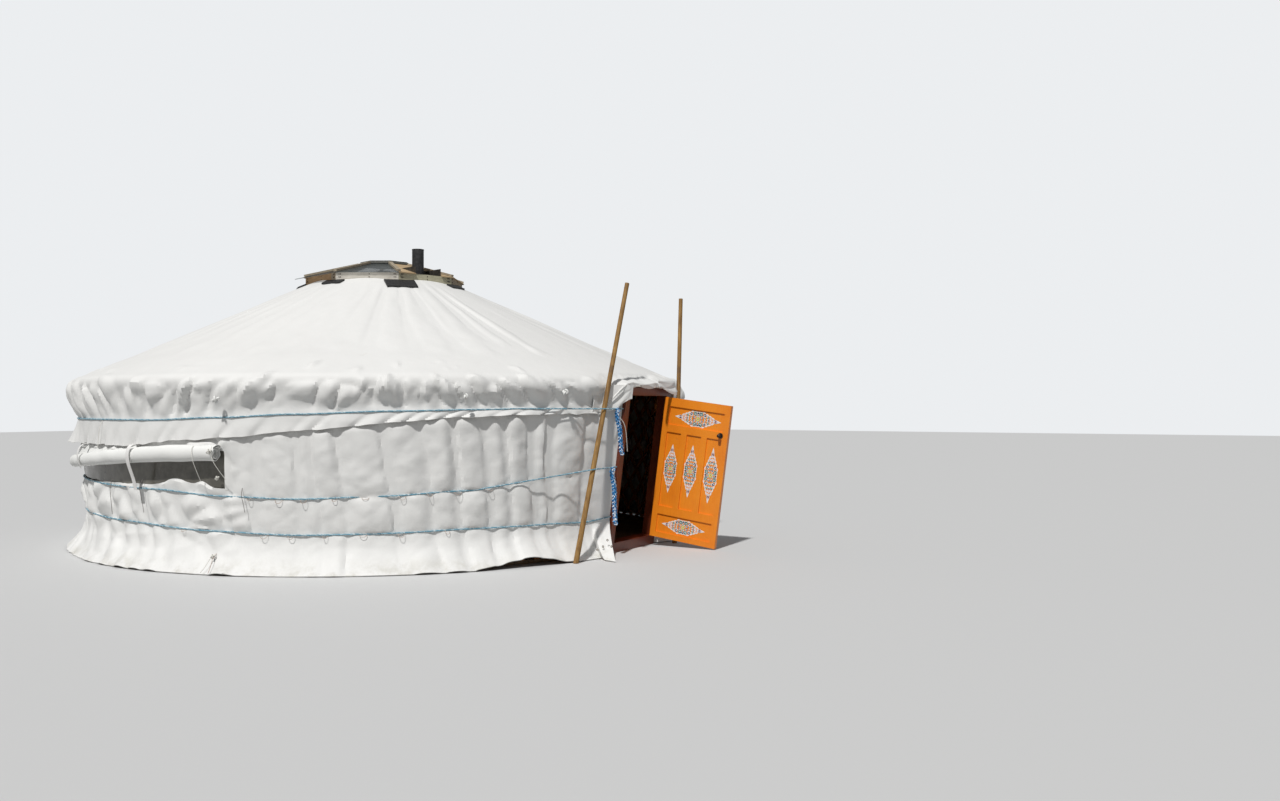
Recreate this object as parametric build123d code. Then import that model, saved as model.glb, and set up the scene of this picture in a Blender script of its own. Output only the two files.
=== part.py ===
# A felt-and-canvas yurt on a lattice wall, with a timber crown box, a stove flue
# and one painted door that swings outwards.
# Millimetres, +Z up. The origin is on the yurt's axis at ground level, and the door faces -Y.
from build123d import *
from math import acos, asin, atan, atan2, cos, degrees, hypot, pi, radians, sin, tan
import os

# Wall
WALL_FOOT_RADIUS = 2782.0
WALL_LEAN = 3.8
COVER_THICKNESS = 16.0
COVER_TOP = 1455.0
SOFT_GAP = 0.3
HEM_FLARE = 175.0
HEM_FLARE_HEIGHT = 300.0
HEM_LIFT = 75.0
HEM_LIFT_FROM = 593.0
HEM_LIFT_TO = 612.0
COVER_STEP = 5.0
COVER_HEIGHTS = (0.0, 60.0, 140.0, 220.0, 300.0, 620.0, 940.0, 1240.0)
STRIP_FLARE = ((-100.0, -50.0), (-387.0, -330.0))
STRIP_HEIGHT = 320.0
STRIP_FLARE_POWER = 1.5
STRIP_COLUMNS = (0.0, 0.25, 0.5, 0.75, 1.0)
HEM_FLARE_POWER = 2
WALL_SEAMS = (332.5, 387.5, 442.5, 497.5, 557.5)

# Window in the wall cover
WINDOW_FROM = 502.5
WINDOW_TO = 552.5
WINDOW_SILL = 620.0
WINDOW_HEAD = 940.0
PANE_THICKNESS = 4.0
PANE_INSET = 6.0
ROLL_RADIUS = 60.0
ROLL_FROM = 499.5
ROLL_TO = 555.0
ROLL_LOW = 785.0
ROLL_HIGH = 922.0

# Lattice
CELLS_PER_SECTION = 11
LATTICE_SECTIONS = 5
LATTICE_END_ANGLE = 9.6
LATTICE_DEPTH = 24.0
LATTICE_CLEARANCE = 0.4
LATTICE_SEAM = 1.0
ROW_PITCH = 147.5
ROW_COUNT = 10
SLAT_SHARE = 0.152
HEAD_NOTCH = 1466.0
EAR_TOP = 1500.0

# Floor
FLOOR_RADIUS = 2762.0
FLOOR_THICKNESS = 28.0

# Roof
EAVE_RADIUS = 2860.0
EAVE_HEIGHT = 1540.0
CROWN_X = -60.0
CROWN_Y = 67.0
ROOF_TOP_RADIUS = 700.0
ROOF_TOP_HEIGHT = 2527.0
ROOF_SEAMS = (242.5, 297.5, 362.5, 422.5, 482.5, 542.5, 602.5)
ROOF_ROWS = (0.25, 0.5, 0.75, 1.0)
BULGE_OUT = 84.0
BULGE_HEIGHT = 1400.0
BULGE_BELOW = ((0.3, 0.65), (0.65, 0.93))
BULGE_ABOVE = ((0.45, 0.9), (0.85, 0.55))
POLE_RADIUS = 21.0
POLE_END_RADIUS = 2884.0
DOOR_POLE_END_RADIUS = 2905.0

# Crown
RING_RADIUS = 680.0
RING_WIDTH = 50.0
RING_HEIGHT = 97.0
RING_BASE = 2468.0
SPOKE_WIDTH = 40.0
SPOKE_DEPTH = 30.0
SPOKE_RISE = 110.0
BOX_RADIUS = 790.0
BOX_TURN = 6.0
BOX_SIDES = 8
BOARD_THICKNESS = 22.0
SCRIBE_GAP = 0.9
BOARD_BASE = 2485.0
BOARD_TOP = 2570.0
PANE_EAVE = 20.0
LOOSE_PANE_EAVE = 95.0
LOOSE_PANE = 3
CLEAR_PANES = (4, 3, 0, 1)
PLY_PANELS = (5, 6, 7, 2)
PANEL_THICKNESS = 8.0
PANEL_GAP = 3.0
CAP_RADIUS = 265.0
CAP_HEIGHT = 2712.0
CAP_THICKNESS = 26.0
CAP_TAPER = 20.0
HIP_WIDTH = 38.0
HIP_HEIGHT = 20.0
PAD_THICKNESS = 14.0
PAD_REACH = 85.0
PAD_WIDTH = 210.0
FRONT_PAD_REACH = 190.0
FRONT_PAD_WIDTH = 290.0
FRONT_CORNER = 5
PAD_GAP = 4.0
FLUE_RADIUS = 57.0
FLUE_WALL = 2.0
FLUE_X = -196.0
FLUE_Y = -475.0
FLUE_TOP = 2838.0
FLUE_BASE = 2330.0
FLASHING_WIDTH = 300.0
FLASHING_WALL = 3.0
FLASHING_RISE = 70.0

# Door
DOOR_RADIUS = 2800.0
DOOR_LEAN = 7.5
OPENING_WIDTH = 676.0
OPENING_BASE = 90.0
OPENING_TOP = 1389.0
JAMB_WIDTH = 74.5
FRAME_DEPTH = 95.0
LINTEL_TOP = 1458.0
LEAF_CLEARANCE = 6.0
LEAF_THICKNESS = 40.0
LEAF_STILE = 56.0
LEAF_MUNTIN = 58.0
LEAF_RAILS = ((0.0, 50.0), (216.0, 76.0), (975.0, 68.0), (1210.0, 77.0))
LEAF_PANEL = 16.0
OPEN_ANGLE = 90.0
HINGE_LEAF = 36.0
HINGE_PLATE = 4.0
HINGE_LIFT = 1.5
KNUCKLE_RADIUS = 8.0
KNUCKLE_HEIGHT = 32.0
PIN_RADIUS = 4.5
PIN_CLEARANCE = 0.3
HINGE_INSET = 190.0
LATCH_INSET = 72.0
LATCH_DROP = 275.0
KNOB_RADIUS = 18.0
KNOB_REACH = 34.0
ROSE_RADIUS = 25.0
ROSE_THICKNESS = 5.0
RETURN_ANGLE = 12.5
JAMB_SETBACK = 30.0
HOOD_FRONT = 3030.0
HOOD_HEIGHT = 1478.0
HOOD_INNER_ANGLE = 8.2
HOOD_COLUMNS = (-12.5, -11.0, -9.6, -8.2, -4.1, 0.0, 4.1, 8.2, 9.6, 11.0, 12.5)

# Ropes and door poles
ROPE_RADIUS = 6.0
POLE_WRAP = 16.0
TOP_ROPE = ((270.0, 1240.0), (430.0, 1210.0), (510.0, 1176.0), (541.0, 1176.0), (555.0, 1198.0),
            (567.0, 1224.0), (582.0, 1247.0), (595.0, 1258.0), (610.0, 1275.0), (630.0, 1262.0))
MIDDLE_ROPE = ((270.0, 690.0), (430.0, 650.0), (506.0, 653.0), (541.0, 628.0), (555.0, 591.0),
               (567.0, 575.0), (580.0, 593.0), (592.0, 619.0), (607.0, 674.0), (620.0, 735.0),
               (630.0, 760.0))
LOW_ROPE = ((270.0, 330.0), (430.0, 350.0), (506.0, 369.0), (534.0, 353.0), (553.0, 318.0),
            (567.0, 298.0), (579.0, 304.0), (593.0, 317.0), (607.0, 314.0), (616.0, 301.0),
            (630.0, 330.0))
BAND_EDGE = ((270.0, 1140.0), (430.0, 1060.0), (507.0, 970.0), (534.0, 970.0), (549.0, 1022.0),
             (558.0, 1049.0), (567.0, 1096.0), (582.0, 1159.0), (590.0, 1199.0), (605.0, 1220.0),
             (630.0, 1220.0))
POLE_FOOT_RADIUS = 23.0
POLE_TIP_RADIUS = 19.0
LEFT_POLE = ((-985.0, -2830.0, 0.0), (-375.0, -2965.0, 2345.0))
RIGHT_POLE = ((550.0, -2950.0, 0.0), (820.0, -2880.0, 2320.0))
UPPER_HANK = ((-512.0, -2944.0, 1256.81), (-512.0, -2944.0, 1190.0), (-491.0, -2962.0, 1090.0),
              (-478.0, -2957.0, 985.0), (-468.0, -2964.0, 880.0))
LOWER_HANK = ((-500.0, -2885.0, 754.81), (-500.0, -2885.0, 700.0), (-488.0, -2906.0, 590.0),
              (-484.0, -2900.0, 440.0), (-474.0, -2905.0, 280.0))
HANK_RADIUS = 24.0
HANK_CURVE_SHARE = 0.45

DOOR_ANGLE = 270.0
FULL_TURN = 360.0
WALL_SLOPE = tan(radians(WALL_LEAN))
DOOR_SLOPE = tan(radians(DOOR_LEAN))
FACET = cos(radians(COVER_STEP / 2))
BOX_HALF_SIDE = FULL_TURN / BOX_SIDES / 2
BOX_FACE = BOX_RADIUS * cos(radians(BOX_HALF_SIDE))
JAMB_OUTSIDE = OPENING_WIDTH / 2 + JAMB_WIDTH
FIRST_COLUMN = DOOR_ANGLE + RETURN_ANGLE
LAST_COLUMN = DOOR_ANGLE + FULL_TURN - RETURN_ANGLE
CROWN = Vector(CROWN_X, CROWN_Y, 0)


# Helpers
def smooth(share):
    share = min(1.0, max(0.0, share))
    return share * share * (3 - 2 * share)


def heading(angle):
    return Vector(cos(radians(angle)), sin(radians(angle)), 0)


def between(a, b, share):
    return a + (b - a) * share


def height_at(stations, angle):
    """The height at one angle, eased between the two stations on each side."""
    for (angle_a, height_a), (angle_b, height_b) in zip(stations, stations[1:]):
        if angle <= angle_b:
            share = (angle - angle_a) / (angle_b - angle_a)
            return height_a + (height_b - height_a) * smooth(share)
    return stations[-1][1]


def closed_solid(triangles):
    faces = [Face(Wire.make_polygon(corners)) for corners in triangles]
    return Solid(Shell(faces))


def slab(polygons, outer, inner):
    """A closed solid between two surfaces, from polygons that share their edges.

    A polygon is a list of keys, in anticlockwise order seen from outside.
    """
    triangles = []
    edges = set()
    for polygon in polygons:
        for second, third in zip(polygon[1:], polygon[2:]):
            triangles.append((outer[polygon[0]], outer[second], outer[third]))
            triangles.append((inner[polygon[0]], inner[third], inner[second]))
        edges.update(zip(polygon, polygon[1:] + polygon[:1]))
    for start, end in sorted(edges):
        if (end, start) not in edges:
            triangles.append((outer[end], outer[start], inner[start]))
            triangles.append((outer[end], inner[start], inner[end]))
    return closed_solid(triangles)


def grid_slab(outer_rows, inner_rows, is_open=lambda column, row: False):
    """A slab over a grid of points, outer_rows[column][row], with open cells left out."""
    outer = {}
    inner = {}
    for column, (outside, inside) in enumerate(zip(outer_rows, inner_rows)):
        for row, (point, backing) in enumerate(zip(outside, inside)):
            outer[(column, row)] = point
            inner[(column, row)] = backing
    polygons = []
    for column in range(len(outer_rows) - 1):
        for row in range(len(outer_rows[0]) - 1):
            if not is_open(column, row):
                polygons.append([(column, row), (column + 1, row),
                                 (column + 1, row + 1), (column, row + 1)])
    return slab(polygons, outer, inner)


def tube(points, radius, sides=6):
    """A closed tube of few sides along a line of points."""
    rings = []
    for place, point in enumerate(points):
        before = points[max(place - 1, 0)]
        after = points[min(place + 1, len(points) - 1)]
        along = (after - before).normalized()
        across = along.cross(Vector(0, 0, 1)).normalized()
        upright = across.cross(along)
        turns = [radians(FULL_TURN * side / sides) for side in range(sides)]
        rings.append([point + across * (radius * cos(turn)) + upright * (radius * sin(turn))
                      for turn in turns])
    triangles = []
    for near, far in zip(rings, rings[1:]):
        for side in range(sides):
            following = (side + 1) % sides
            triangles.append((near[side], far[following], near[following]))
            triangles.append((near[side], far[side], far[following]))
    for side in range(1, sides - 1):
        triangles.append((rings[0][0], rings[0][side], rings[0][side + 1]))
        triangles.append((rings[-1][0], rings[-1][side + 1], rings[-1][side]))
    return closed_solid(triangles)


def round_bar(start, end, radius):
    plane = Plane(origin=start, z_dir=end - start)
    return Solid.make_cylinder(radius, (end - start).length, plane)


def block(low, high):
    size = Vector(*high) - Vector(*low)
    centre = (Vector(*high) + Vector(*low)) * 0.5
    return Pos(centre) * Box(size.X, size.Y, size.Z)


def save(node, solids):
    shape = solids[0] if len(solids) == 1 else Compound(solids)
    export_step(shape, os.path.join("parts", node + ".step"))


# Floor
def door_depth(height):
    """How far out the front of the door frame stands at a height."""
    return DOOR_RADIUS + height * DOOR_SLOPE


def floor_deck():
    disc = extrude(Circle(FLOOR_RADIUS), FLOOR_THICKNESS)
    back = DOOR_RADIUS - FRAME_DEPTH / cos(radians(DOOR_LEAN)) - SOFT_GAP
    side = JAMB_OUTSIDE + SOFT_GAP
    notch = block((-side, -2 * FLOOR_RADIUS, -FLOOR_THICKNESS), (side, -back, 2 * FLOOR_THICKNESS))
    return disc - notch


# Wall cover
def wall_radius(height):
    """The outer radius of the wall cover above its hem."""
    return WALL_FOOT_RADIUS + height * WALL_SLOPE


def hem_flare(height):
    return HEM_FLARE * max(0.0, 1 - height / HEM_FLARE_HEIGHT) ** HEM_FLARE_POWER


def hem_lift(angle, height):
    middle = (HEM_LIFT_FROM + HEM_LIFT_TO) / 2
    reach = (HEM_LIFT_TO - HEM_LIFT_FROM) / 2
    bump = smooth(1 - abs(angle - middle) / reach)
    return HEM_LIFT * bump * max(0.0, 1 - height / HEM_FLARE_HEIGHT)


def wall_column(angle):
    outward = heading(angle)
    outside = []
    for height in COVER_HEIGHTS + (COVER_TOP,):
        radius = wall_radius(height) + hem_flare(height)
        outside.append(outward * radius + Vector(0, 0, height + hem_lift(angle, height)))
    inside = [point - outward * COVER_THICKNESS for point in outside]
    return outside, inside


def return_columns(side):
    """The cover's last strip, from the round wall to the jamb. side is 1 at +X and -1 at -X."""
    corner = DOOR_ANGLE + side * RETURN_ANGLE
    outward = heading(corner)
    faces = []
    for share in STRIP_COLUMNS:
        outside = []
        for height in COVER_HEIGHTS + (COVER_TOP,):
            wall = outward * (wall_radius(height) + hem_flare(height))
            jamb = Vector(side * (JAMB_OUTSIDE + SOFT_GAP), JAMB_SETBACK - door_depth(height), 0)
            flare = max(0.0, 1 - height / STRIP_HEIGHT) ** STRIP_FLARE_POWER if side < 0 else 0.0
            corner_flare = Vector(*STRIP_FLARE[0], 0)
            jamb_flare = Vector(*STRIP_FLARE[1], 0)
            loose = between(corner_flare, jamb_flare, share) * flare
            outside.append(between(wall, jamb, share) + loose + Vector(0, 0, height))
        faces.append(outside)
    columns = []
    for place, outside in enumerate(faces):
        before = faces[max(place - 1, 0)]
        after = faces[min(place + 1, len(faces) - 1)]
        inside = []
        for row, point in enumerate(outside):
            along = after[row] - before[row]
            inward = Vector(side * along.Y, -side * along.X, 0).normalized() * COVER_THICKNESS
            if place == 0:
                inward = -outward * COVER_THICKNESS
            if place == len(faces) - 1 and (side > 0 or point.Z >= STRIP_HEIGHT):
                inward = Vector(0, COVER_THICKNESS, 0)
            inside.append(point + inward)
        columns.append((outside, inside))
    return columns


def cover_angles(start, end):
    count = round((end - start) / COVER_STEP)
    return [start + COVER_STEP * step for step in range(count + 1)]


def wall_covers():
    """The wall cover in round segments, with the window cut through one of them."""
    seams = (FIRST_COLUMN,) + WALL_SEAMS + (LAST_COLUMN,)
    covers = []
    for number, (start, end) in enumerate(zip(seams, seams[1:])):
        angles = cover_angles(start, end)
        columns = [wall_column(angle) for angle in angles]
        if number == 0:
            angles = [None] * (len(STRIP_COLUMNS) - 1) + angles
            columns = list(reversed(return_columns(1)))[:-1] + columns
        if number == len(seams) - 2:
            columns = columns + return_columns(-1)[1:]
            angles = angles + [None] * (len(STRIP_COLUMNS) - 1)

        def in_window(column, row):
            angle = angles[column]
            if angle is None or angles[column + 1] is None:
                return False
            level = (COVER_HEIGHTS + (COVER_TOP,))[row]
            return WINDOW_FROM <= angle < WINDOW_TO and WINDOW_SILL <= level < WINDOW_HEAD

        outside = [column[0] for column in columns]
        inside = [column[1] for column in columns]
        covers.append(grid_slab(outside, inside, in_window))
    return covers


def window_pane():
    outside = []
    inside = []
    edge = degrees(SOFT_GAP / WALL_FOOT_RADIUS)
    for angle in cover_angles(WINDOW_FROM, WINDOW_TO):
        inset_angle = min(max(angle, WINDOW_FROM + edge), WINDOW_TO - edge)
        levels = (WINDOW_SILL + SOFT_GAP, WINDOW_HEAD - SOFT_GAP)
        face = [heading(inset_angle) * (wall_radius(level) - PANE_INSET) + Vector(0, 0, level)
                for level in levels]
        outside.append(face)
        inside.append([point - heading(inset_angle) * PANE_THICKNESS for point in face])
    return grid_slab(outside, inside)


def window_roll():
    points = []
    for angle in [ROLL_FROM] + cover_angles(WINDOW_FROM, WINDOW_TO) + [ROLL_TO]:
        share = smooth((angle - ROLL_FROM) / (ROLL_TO - ROLL_FROM))
        height = ROLL_LOW + (ROLL_HIGH - ROLL_LOW) * share
        radius = wall_radius(height) + ROLL_RADIUS / cos(radians(WALL_LEAN)) + SOFT_GAP
        points.append(heading(angle) * radius + Vector(0, 0, height))
    return tube(points, ROLL_RADIUS, 10)


# Lattice wall
def lattice_radius(height):
    return (wall_radius(height) - COVER_THICKNESS) * FACET - LATTICE_CLEARANCE


def lattice_sections():
    """Five lattice walls. The bars are fused where they cross, and each later wall
    starts flat against the last hubs of the wall before it."""
    cells = CELLS_PER_SECTION * LATTICE_SECTIONS
    start = DOOR_ANGLE + LATTICE_END_ANGLE
    half_cell = (FULL_TURN - 2 * LATTICE_END_ANGLE) / cells / 2
    last = 2 * cells
    hub_width = SLAT_SHARE * half_cell
    hub_rise = SLAT_SHARE * ROW_PITCH
    top = HEAD_NOTCH - hub_rise

    def level(row):
        return top - (ROW_COUNT - 1 - row) * ROW_PITCH

    def corner(column, row, side):
        angle = start + column * half_cell
        return {"left": (angle - hub_width, level(row)), "right": (angle + hub_width, level(row)),
                "low": (angle, level(row) - hub_rise), "high": (angle, level(row) + hub_rise)}[side]

    def past_seam(point, owned, rise):
        """A slat's start, moved along the slat where it meets a hub of the wall before it."""
        share = 0 if owned else LATTICE_SEAM / ROW_PITCH
        return (point[0] + share * half_cell, point[1] + rise * share * ROW_PITCH)

    def stub(point, across, goal):
        """Where a slat's edge ends when it is cut off level."""
        share = abs(goal - point[1]) / ROW_PITCH
        return (point[0] + across * share * half_cell, goal)

    def section(first, final):
        polygons = []
        for column in range(first, final + 1):
            owned = column > first or first == 0
            for row in range(ROW_COUNT):
                if (column + row) % 2:
                    continue
                left, right = corner(column, row, "left"), corner(column, row, "right")
                low, high = corner(column, row, "low"), corner(column, row, "high")
                if owned:
                    polygons.append([left, low, right, high])
                if column < final and row < ROW_COUNT - 1:
                    polygons.append([past_seam(right, owned, 1), corner(column + 1, row + 1, "low"),
                                     corner(column + 1, row + 1, "left"), past_seam(high, owned, 1)])
                if column < final and row > 0:
                    polygons.append([past_seam(low, owned, -1), corner(column + 1, row - 1, "left"),
                                     corner(column + 1, row - 1, "high"), past_seam(right, owned, -1)])
                if row == 0 and owned and column > 0:
                    polygons.append([stub(left, -1, FLOOR_THICKNESS),
                                     stub(low, -1, FLOOR_THICKNESS), low, left])
                if row == 0 and owned and column < last:
                    polygons.append([low, stub(low, 1, FLOOR_THICKNESS),
                                     stub(right, 1, FLOOR_THICKNESS), right])
                if row == ROW_COUNT - 1 and owned:
                    polygons.append([left, high, stub(high, -1, EAR_TOP), stub(left, -1, EAR_TOP)])
                    polygons.append([high, right, stub(right, 1, EAR_TOP), stub(high, 1, EAR_TOP)])
        polygons = [[(round(a, 6), round(z, 6)) for a, z in polygon] for polygon in polygons]
        outer = {}
        inner = {}
        for key in {point for polygon in polygons for point in polygon}:
            angle, height = key
            outer[key] = heading(angle) * lattice_radius(height) + Vector(0, 0, height)
            inner[key] = outer[key] - heading(angle) * LATTICE_DEPTH
        return slab(polygons, outer, inner)

    width = 2 * CELLS_PER_SECTION
    return [section(width * number, width * (number + 1)) for number in range(LATTICE_SECTIONS)]


# Roof
def roof_line(angle):
    """The straight run of the roof's outer face at one angle, from the eave to the crown."""
    eave = heading(angle) * EAVE_RADIUS + Vector(0, 0, EAVE_HEIGHT)
    crown = CROWN + heading(angle) * ROOF_TOP_RADIUS + Vector(0, 0, ROOF_TOP_HEIGHT)
    return eave, crown


def roof_column(angle):
    """One column of the roof cover from its hem to the crown, and the backing of each point."""
    turn = (angle - DOOR_ANGLE + FULL_TURN / 2) % FULL_TURN - FULL_TURN / 2
    station = DOOR_ANGLE + turn % FULL_TURN
    eave, crown = roof_line(angle)
    lap = SOFT_GAP + COVER_THICKNESS
    rope = height_at(TOP_ROPE, station)
    hem = height_at(BAND_EDGE, station)
    tuck = rope + 2 * ROPE_RADIUS
    profile = [(wall_radius(hem) + lap, hem), (wall_radius(tuck) + lap, tuck)]
    for share, reach in BULGE_BELOW:
        profile.append((EAVE_RADIUS + BULGE_OUT * reach, tuck + (BULGE_HEIGHT - tuck) * share))
    profile.append((EAVE_RADIUS + BULGE_OUT, BULGE_HEIGHT))
    for share, reach in BULGE_ABOVE:
        profile.append((EAVE_RADIUS + BULGE_OUT * reach,
                        BULGE_HEIGHT + (EAVE_HEIGHT - BULGE_HEIGHT) * share))
    hood = smooth((RETURN_ANGLE - abs(turn)) / (RETURN_ANGLE - HOOD_INNER_ANGLE))
    front = HOOD_FRONT / cos(radians(turn)) if hood else 0.0
    raised = []
    for place, (radius, height) in enumerate(profile):
        share = place / len(profile)
        hood_radius = front + (EAVE_RADIUS - front) * share
        hood_height = HOOD_HEIGHT + (EAVE_HEIGHT - HOOD_HEIGHT) * share
        raised.append((radius + (hood_radius - radius) * hood,
                       height + (hood_height - height) * hood))
    points = [heading(angle) * radius + Vector(0, 0, height) for radius, height in raised]
    points += [eave] + [between(eave, crown, share) for share in ROOF_ROWS]
    side = heading(angle + 90)
    backing = []
    for place, point in enumerate(points):
        before = points[max(place - 1, 0)]
        after = points[min(place + 1, len(points) - 1)]
        along = (after - before).normalized()
        backing.append(point + along.cross(side).normalized() * COVER_THICKNESS)
    return points, backing


def roof_covers():
    covers = []
    for start, end in zip(ROOF_SEAMS, ROOF_SEAMS[1:]):
        angles = [angle for angle in cover_angles(start, end)
                  if abs(angle - DOOR_ANGLE) > RETURN_ANGLE]
        if start < DOOR_ANGLE < end:
            angles = sorted(angles + [DOOR_ANGLE + turn for turn in HOOD_COLUMNS])
        columns = [roof_column(angle) for angle in angles]
        covers.append(grid_slab([column[0] for column in columns],
                                [column[1] for column in columns]))
    return covers


def pole_line(angle, end_radius):
    """The axis of a roof pole, under the cover and out to the wall."""
    eave, crown = roof_line(angle)
    run = crown - eave
    level_run = hypot(run.X, run.Y)
    slope = atan2(run.Z, level_run)
    facet_sag = EAVE_RADIUS * (1 - FACET) * tan(slope)
    drop = (COVER_THICKNESS + SOFT_GAP + POLE_RADIUS) / cos(slope) + facet_sag
    outer_end = eave + run * ((EAVE_RADIUS - end_radius) / level_run) - Vector(0, 0, drop)
    tilt = POLE_RADIUS * sin(slope)
    to_ring = (RING_RADIUS + SOFT_GAP + tilt - ROOF_TOP_RADIUS) / level_run
    inner_end = crown - run * to_ring - Vector(0, 0, drop)
    return outer_end, inner_end


def roof_poles():
    cells = CELLS_PER_SECTION * LATTICE_SECTIONS
    cell = (FULL_TURN - 2 * LATTICE_END_ANGLE) / cells
    first = DOOR_ANGLE + LATTICE_END_ANGLE + cell / 2
    angles = [first + cell * number for number in range(cells)]
    over_door = (first - DOOR_ANGLE) / 2
    door_angles = [DOOR_ANGLE - over_door, DOOR_ANGLE, DOOR_ANGLE + over_door]
    lines = [pole_line(angle, POLE_END_RADIUS) for angle in angles]
    lines += [pole_line(angle, DOOR_POLE_END_RADIUS) for angle in door_angles]
    return [round_bar(outer, inner, POLE_RADIUS) for outer, inner in lines]


# Crown
def crown_ring():
    outline = Circle(RING_RADIUS) - Circle(RING_RADIUS - RING_WIDTH)
    return Pos(CROWN_X, CROWN_Y, RING_BASE) * extrude(outline, RING_HEIGHT)


def crown_spokes():
    """Eight spokes that rise from the ring to a small hub."""
    inside = RING_RADIUS - RING_WIDTH - SOFT_GAP - SPOKE_WIDTH ** 2 / RING_RADIUS / 4
    base = RING_BASE + RING_HEIGHT - SPOKE_DEPTH
    rise = degrees(atan(SPOKE_RISE / inside))
    hub = Pos(0, 0, base + SPOKE_RISE - SPOKE_DEPTH / 2) * extrude(Circle(2 * SPOKE_WIDTH), SPOKE_DEPTH)
    length = (inside - SPOKE_DEPTH * sin(radians(rise))) / cos(radians(rise))
    spokes = hub
    for number in range(BOX_SIDES):
        bar = Box(length, SPOKE_WIDTH, SPOKE_DEPTH, align=(Align.MIN, Align.CENTER, Align.MIN))
        bar = Pos(0, 0, base + SPOKE_RISE) * Rot(0, rise, 0) * bar
        spokes += Rot(0, 0, BOX_TURN + FULL_TURN / BOX_SIDES * number) * bar
    return Pos(CROWN_X, CROWN_Y, 0) * spokes


def roof_mass():
    """The space under the roof's outer face, for parts that are scribed to it."""
    low = Wire.make_polygon([roof_line(angle)[0] for angle in cover_angles(0, FULL_TURN)[:-1]])
    high = Wire.make_polygon([roof_line(angle)[1] for angle in cover_angles(0, FULL_TURN)[:-1]])
    return Pos(0, 0, SCRIBE_GAP) * Solid.make_loft([low, high], ruled=True)


def octagon(radius):
    return RegularPolygon(radius, BOX_SIDES, rotation=BOX_TURN)


def crown_boards():
    """The eight mitred boards of the crown box, scribed along their lower edge to the roof."""
    half = BOX_HALF_SIDE
    under = roof_mass()
    boards = []
    for number in range(BOX_SIDES):
        middle = BOX_TURN + 2 * half * (number + 0.5)
        back = BOX_FACE - BOARD_THICKNESS
        corners = []
        for depth, side in ((BOX_FACE, -1), (BOX_FACE, 1), (back, 1), (back, -1)):
            reach = side * (depth * tan(radians(half)) - SOFT_GAP)
            corners.append(CROWN + heading(middle) * depth + heading(middle + 90) * reach)
        outline = Face(Wire.make_polygon([corner + Vector(0, 0, BOARD_BASE) for corner in corners]))
        boards.append(extrude(outline, BOARD_TOP - BOARD_BASE, dir=(0, 0, 1)) - under)
    return boards


def panel_height(radius):
    """The top face of the crown's sloping panels, at a radius in the middle of a side."""
    rise = CAP_HEIGHT - BOARD_TOP - PANEL_THICKNESS
    return CAP_HEIGHT - rise * (radius - CAP_RADIUS) / (BOX_FACE - CAP_RADIUS)


def crown_panel(number, eave):
    """One sloping panel of the crown, from past its board up to the cap."""
    half = BOX_HALF_SIDE
    middle = BOX_TURN + 2 * half * (number + 0.5)
    outer = {}
    inner = {}
    for name, radius in (("eave", BOX_FACE + eave), ("cap", CAP_RADIUS * cos(radians(half)) - PANE_EAVE)):
        for side in (-1, 1):
            reach = side * (radius * tan(radians(half)) - PANEL_GAP / 2)
            point = CROWN + heading(middle) * radius + heading(middle + 90) * reach
            outer[(name, side)] = point + Vector(0, 0, panel_height(radius))
            inner[(name, side)] = outer[(name, side)] - Vector(0, 0, PANEL_THICKNESS)
    ring = [("eave", -1), ("eave", 1), ("cap", 1), ("cap", -1)]
    return slab([ring], outer, inner)


def flue_frame(shape):
    """Turns a shape that was drawn outwards along X to face the way the flue stands."""
    turn = degrees(atan2(FLUE_Y - CROWN_Y, FLUE_X - CROWN_X))
    return Pos(CROWN_X, CROWN_Y, 0) * Rot(0, 0, turn) * shape


def flashing_reach():
    across = hypot(FLUE_X - CROWN_X, FLUE_Y - CROWN_Y)
    return across - FLUE_RADIUS - 4 * FLASHING_WALL, BOX_FACE


def crown_panels():
    """The clear panels, and the boarded ones with a gap for the flue's metal tray."""
    back, front = flashing_reach()
    side = FLASHING_WIDTH / 2 + SOFT_GAP
    gap = flue_frame(block((back - SOFT_GAP, -side, BOARD_BASE), (2 * front, side, FLUE_TOP)))
    clear = [crown_panel(number, LOOSE_PANE_EAVE if number == LOOSE_PANE else PANE_EAVE)
             for number in CLEAR_PANES]
    boarded = [crown_panel(number, PANE_EAVE) for number in PLY_PANELS]
    boarded[0] = boarded[0] - gap
    return clear, boarded


def crown_cap():
    """The dark cover plate at the top of the crown, dished over the panels' ends."""
    plate = extrude(octagon(CAP_RADIUS), CAP_THICKNESS, taper=CAP_TAPER)
    base = panel_height(CAP_RADIUS * cos(radians(BOX_HALF_SIDE)) - PANE_EAVE)
    return Pos(CROWN_X, CROWN_Y, base) * plate


def crown_hips():
    """The battens over the joints between the panels."""
    half = BOX_HALF_SIDE
    lift = cos(radians(half))
    outside = BOX_RADIUS + PANE_EAVE / 2
    inside = CAP_RADIUS + SOFT_GAP + HIP_HEIGHT / 2
    run = outside - inside
    drop = panel_height(inside * lift) - panel_height(outside * lift)
    slope = degrees(atan2(drop, run))
    bars = []
    for number in range(BOX_SIDES):
        bar = Box(run / cos(radians(slope)), HIP_WIDTH, HIP_HEIGHT,
                  align=(Align.MIN, Align.CENTER, Align.MIN))
        bar = Pos(inside, 0, panel_height(inside * lift) + SOFT_GAP) * Rot(0, slope, 0) * bar
        bars.append(Pos(CROWN_X, CROWN_Y, 0) * Rot(0, 0, BOX_TURN + 2 * half * number) * bar)
    return bars


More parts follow.
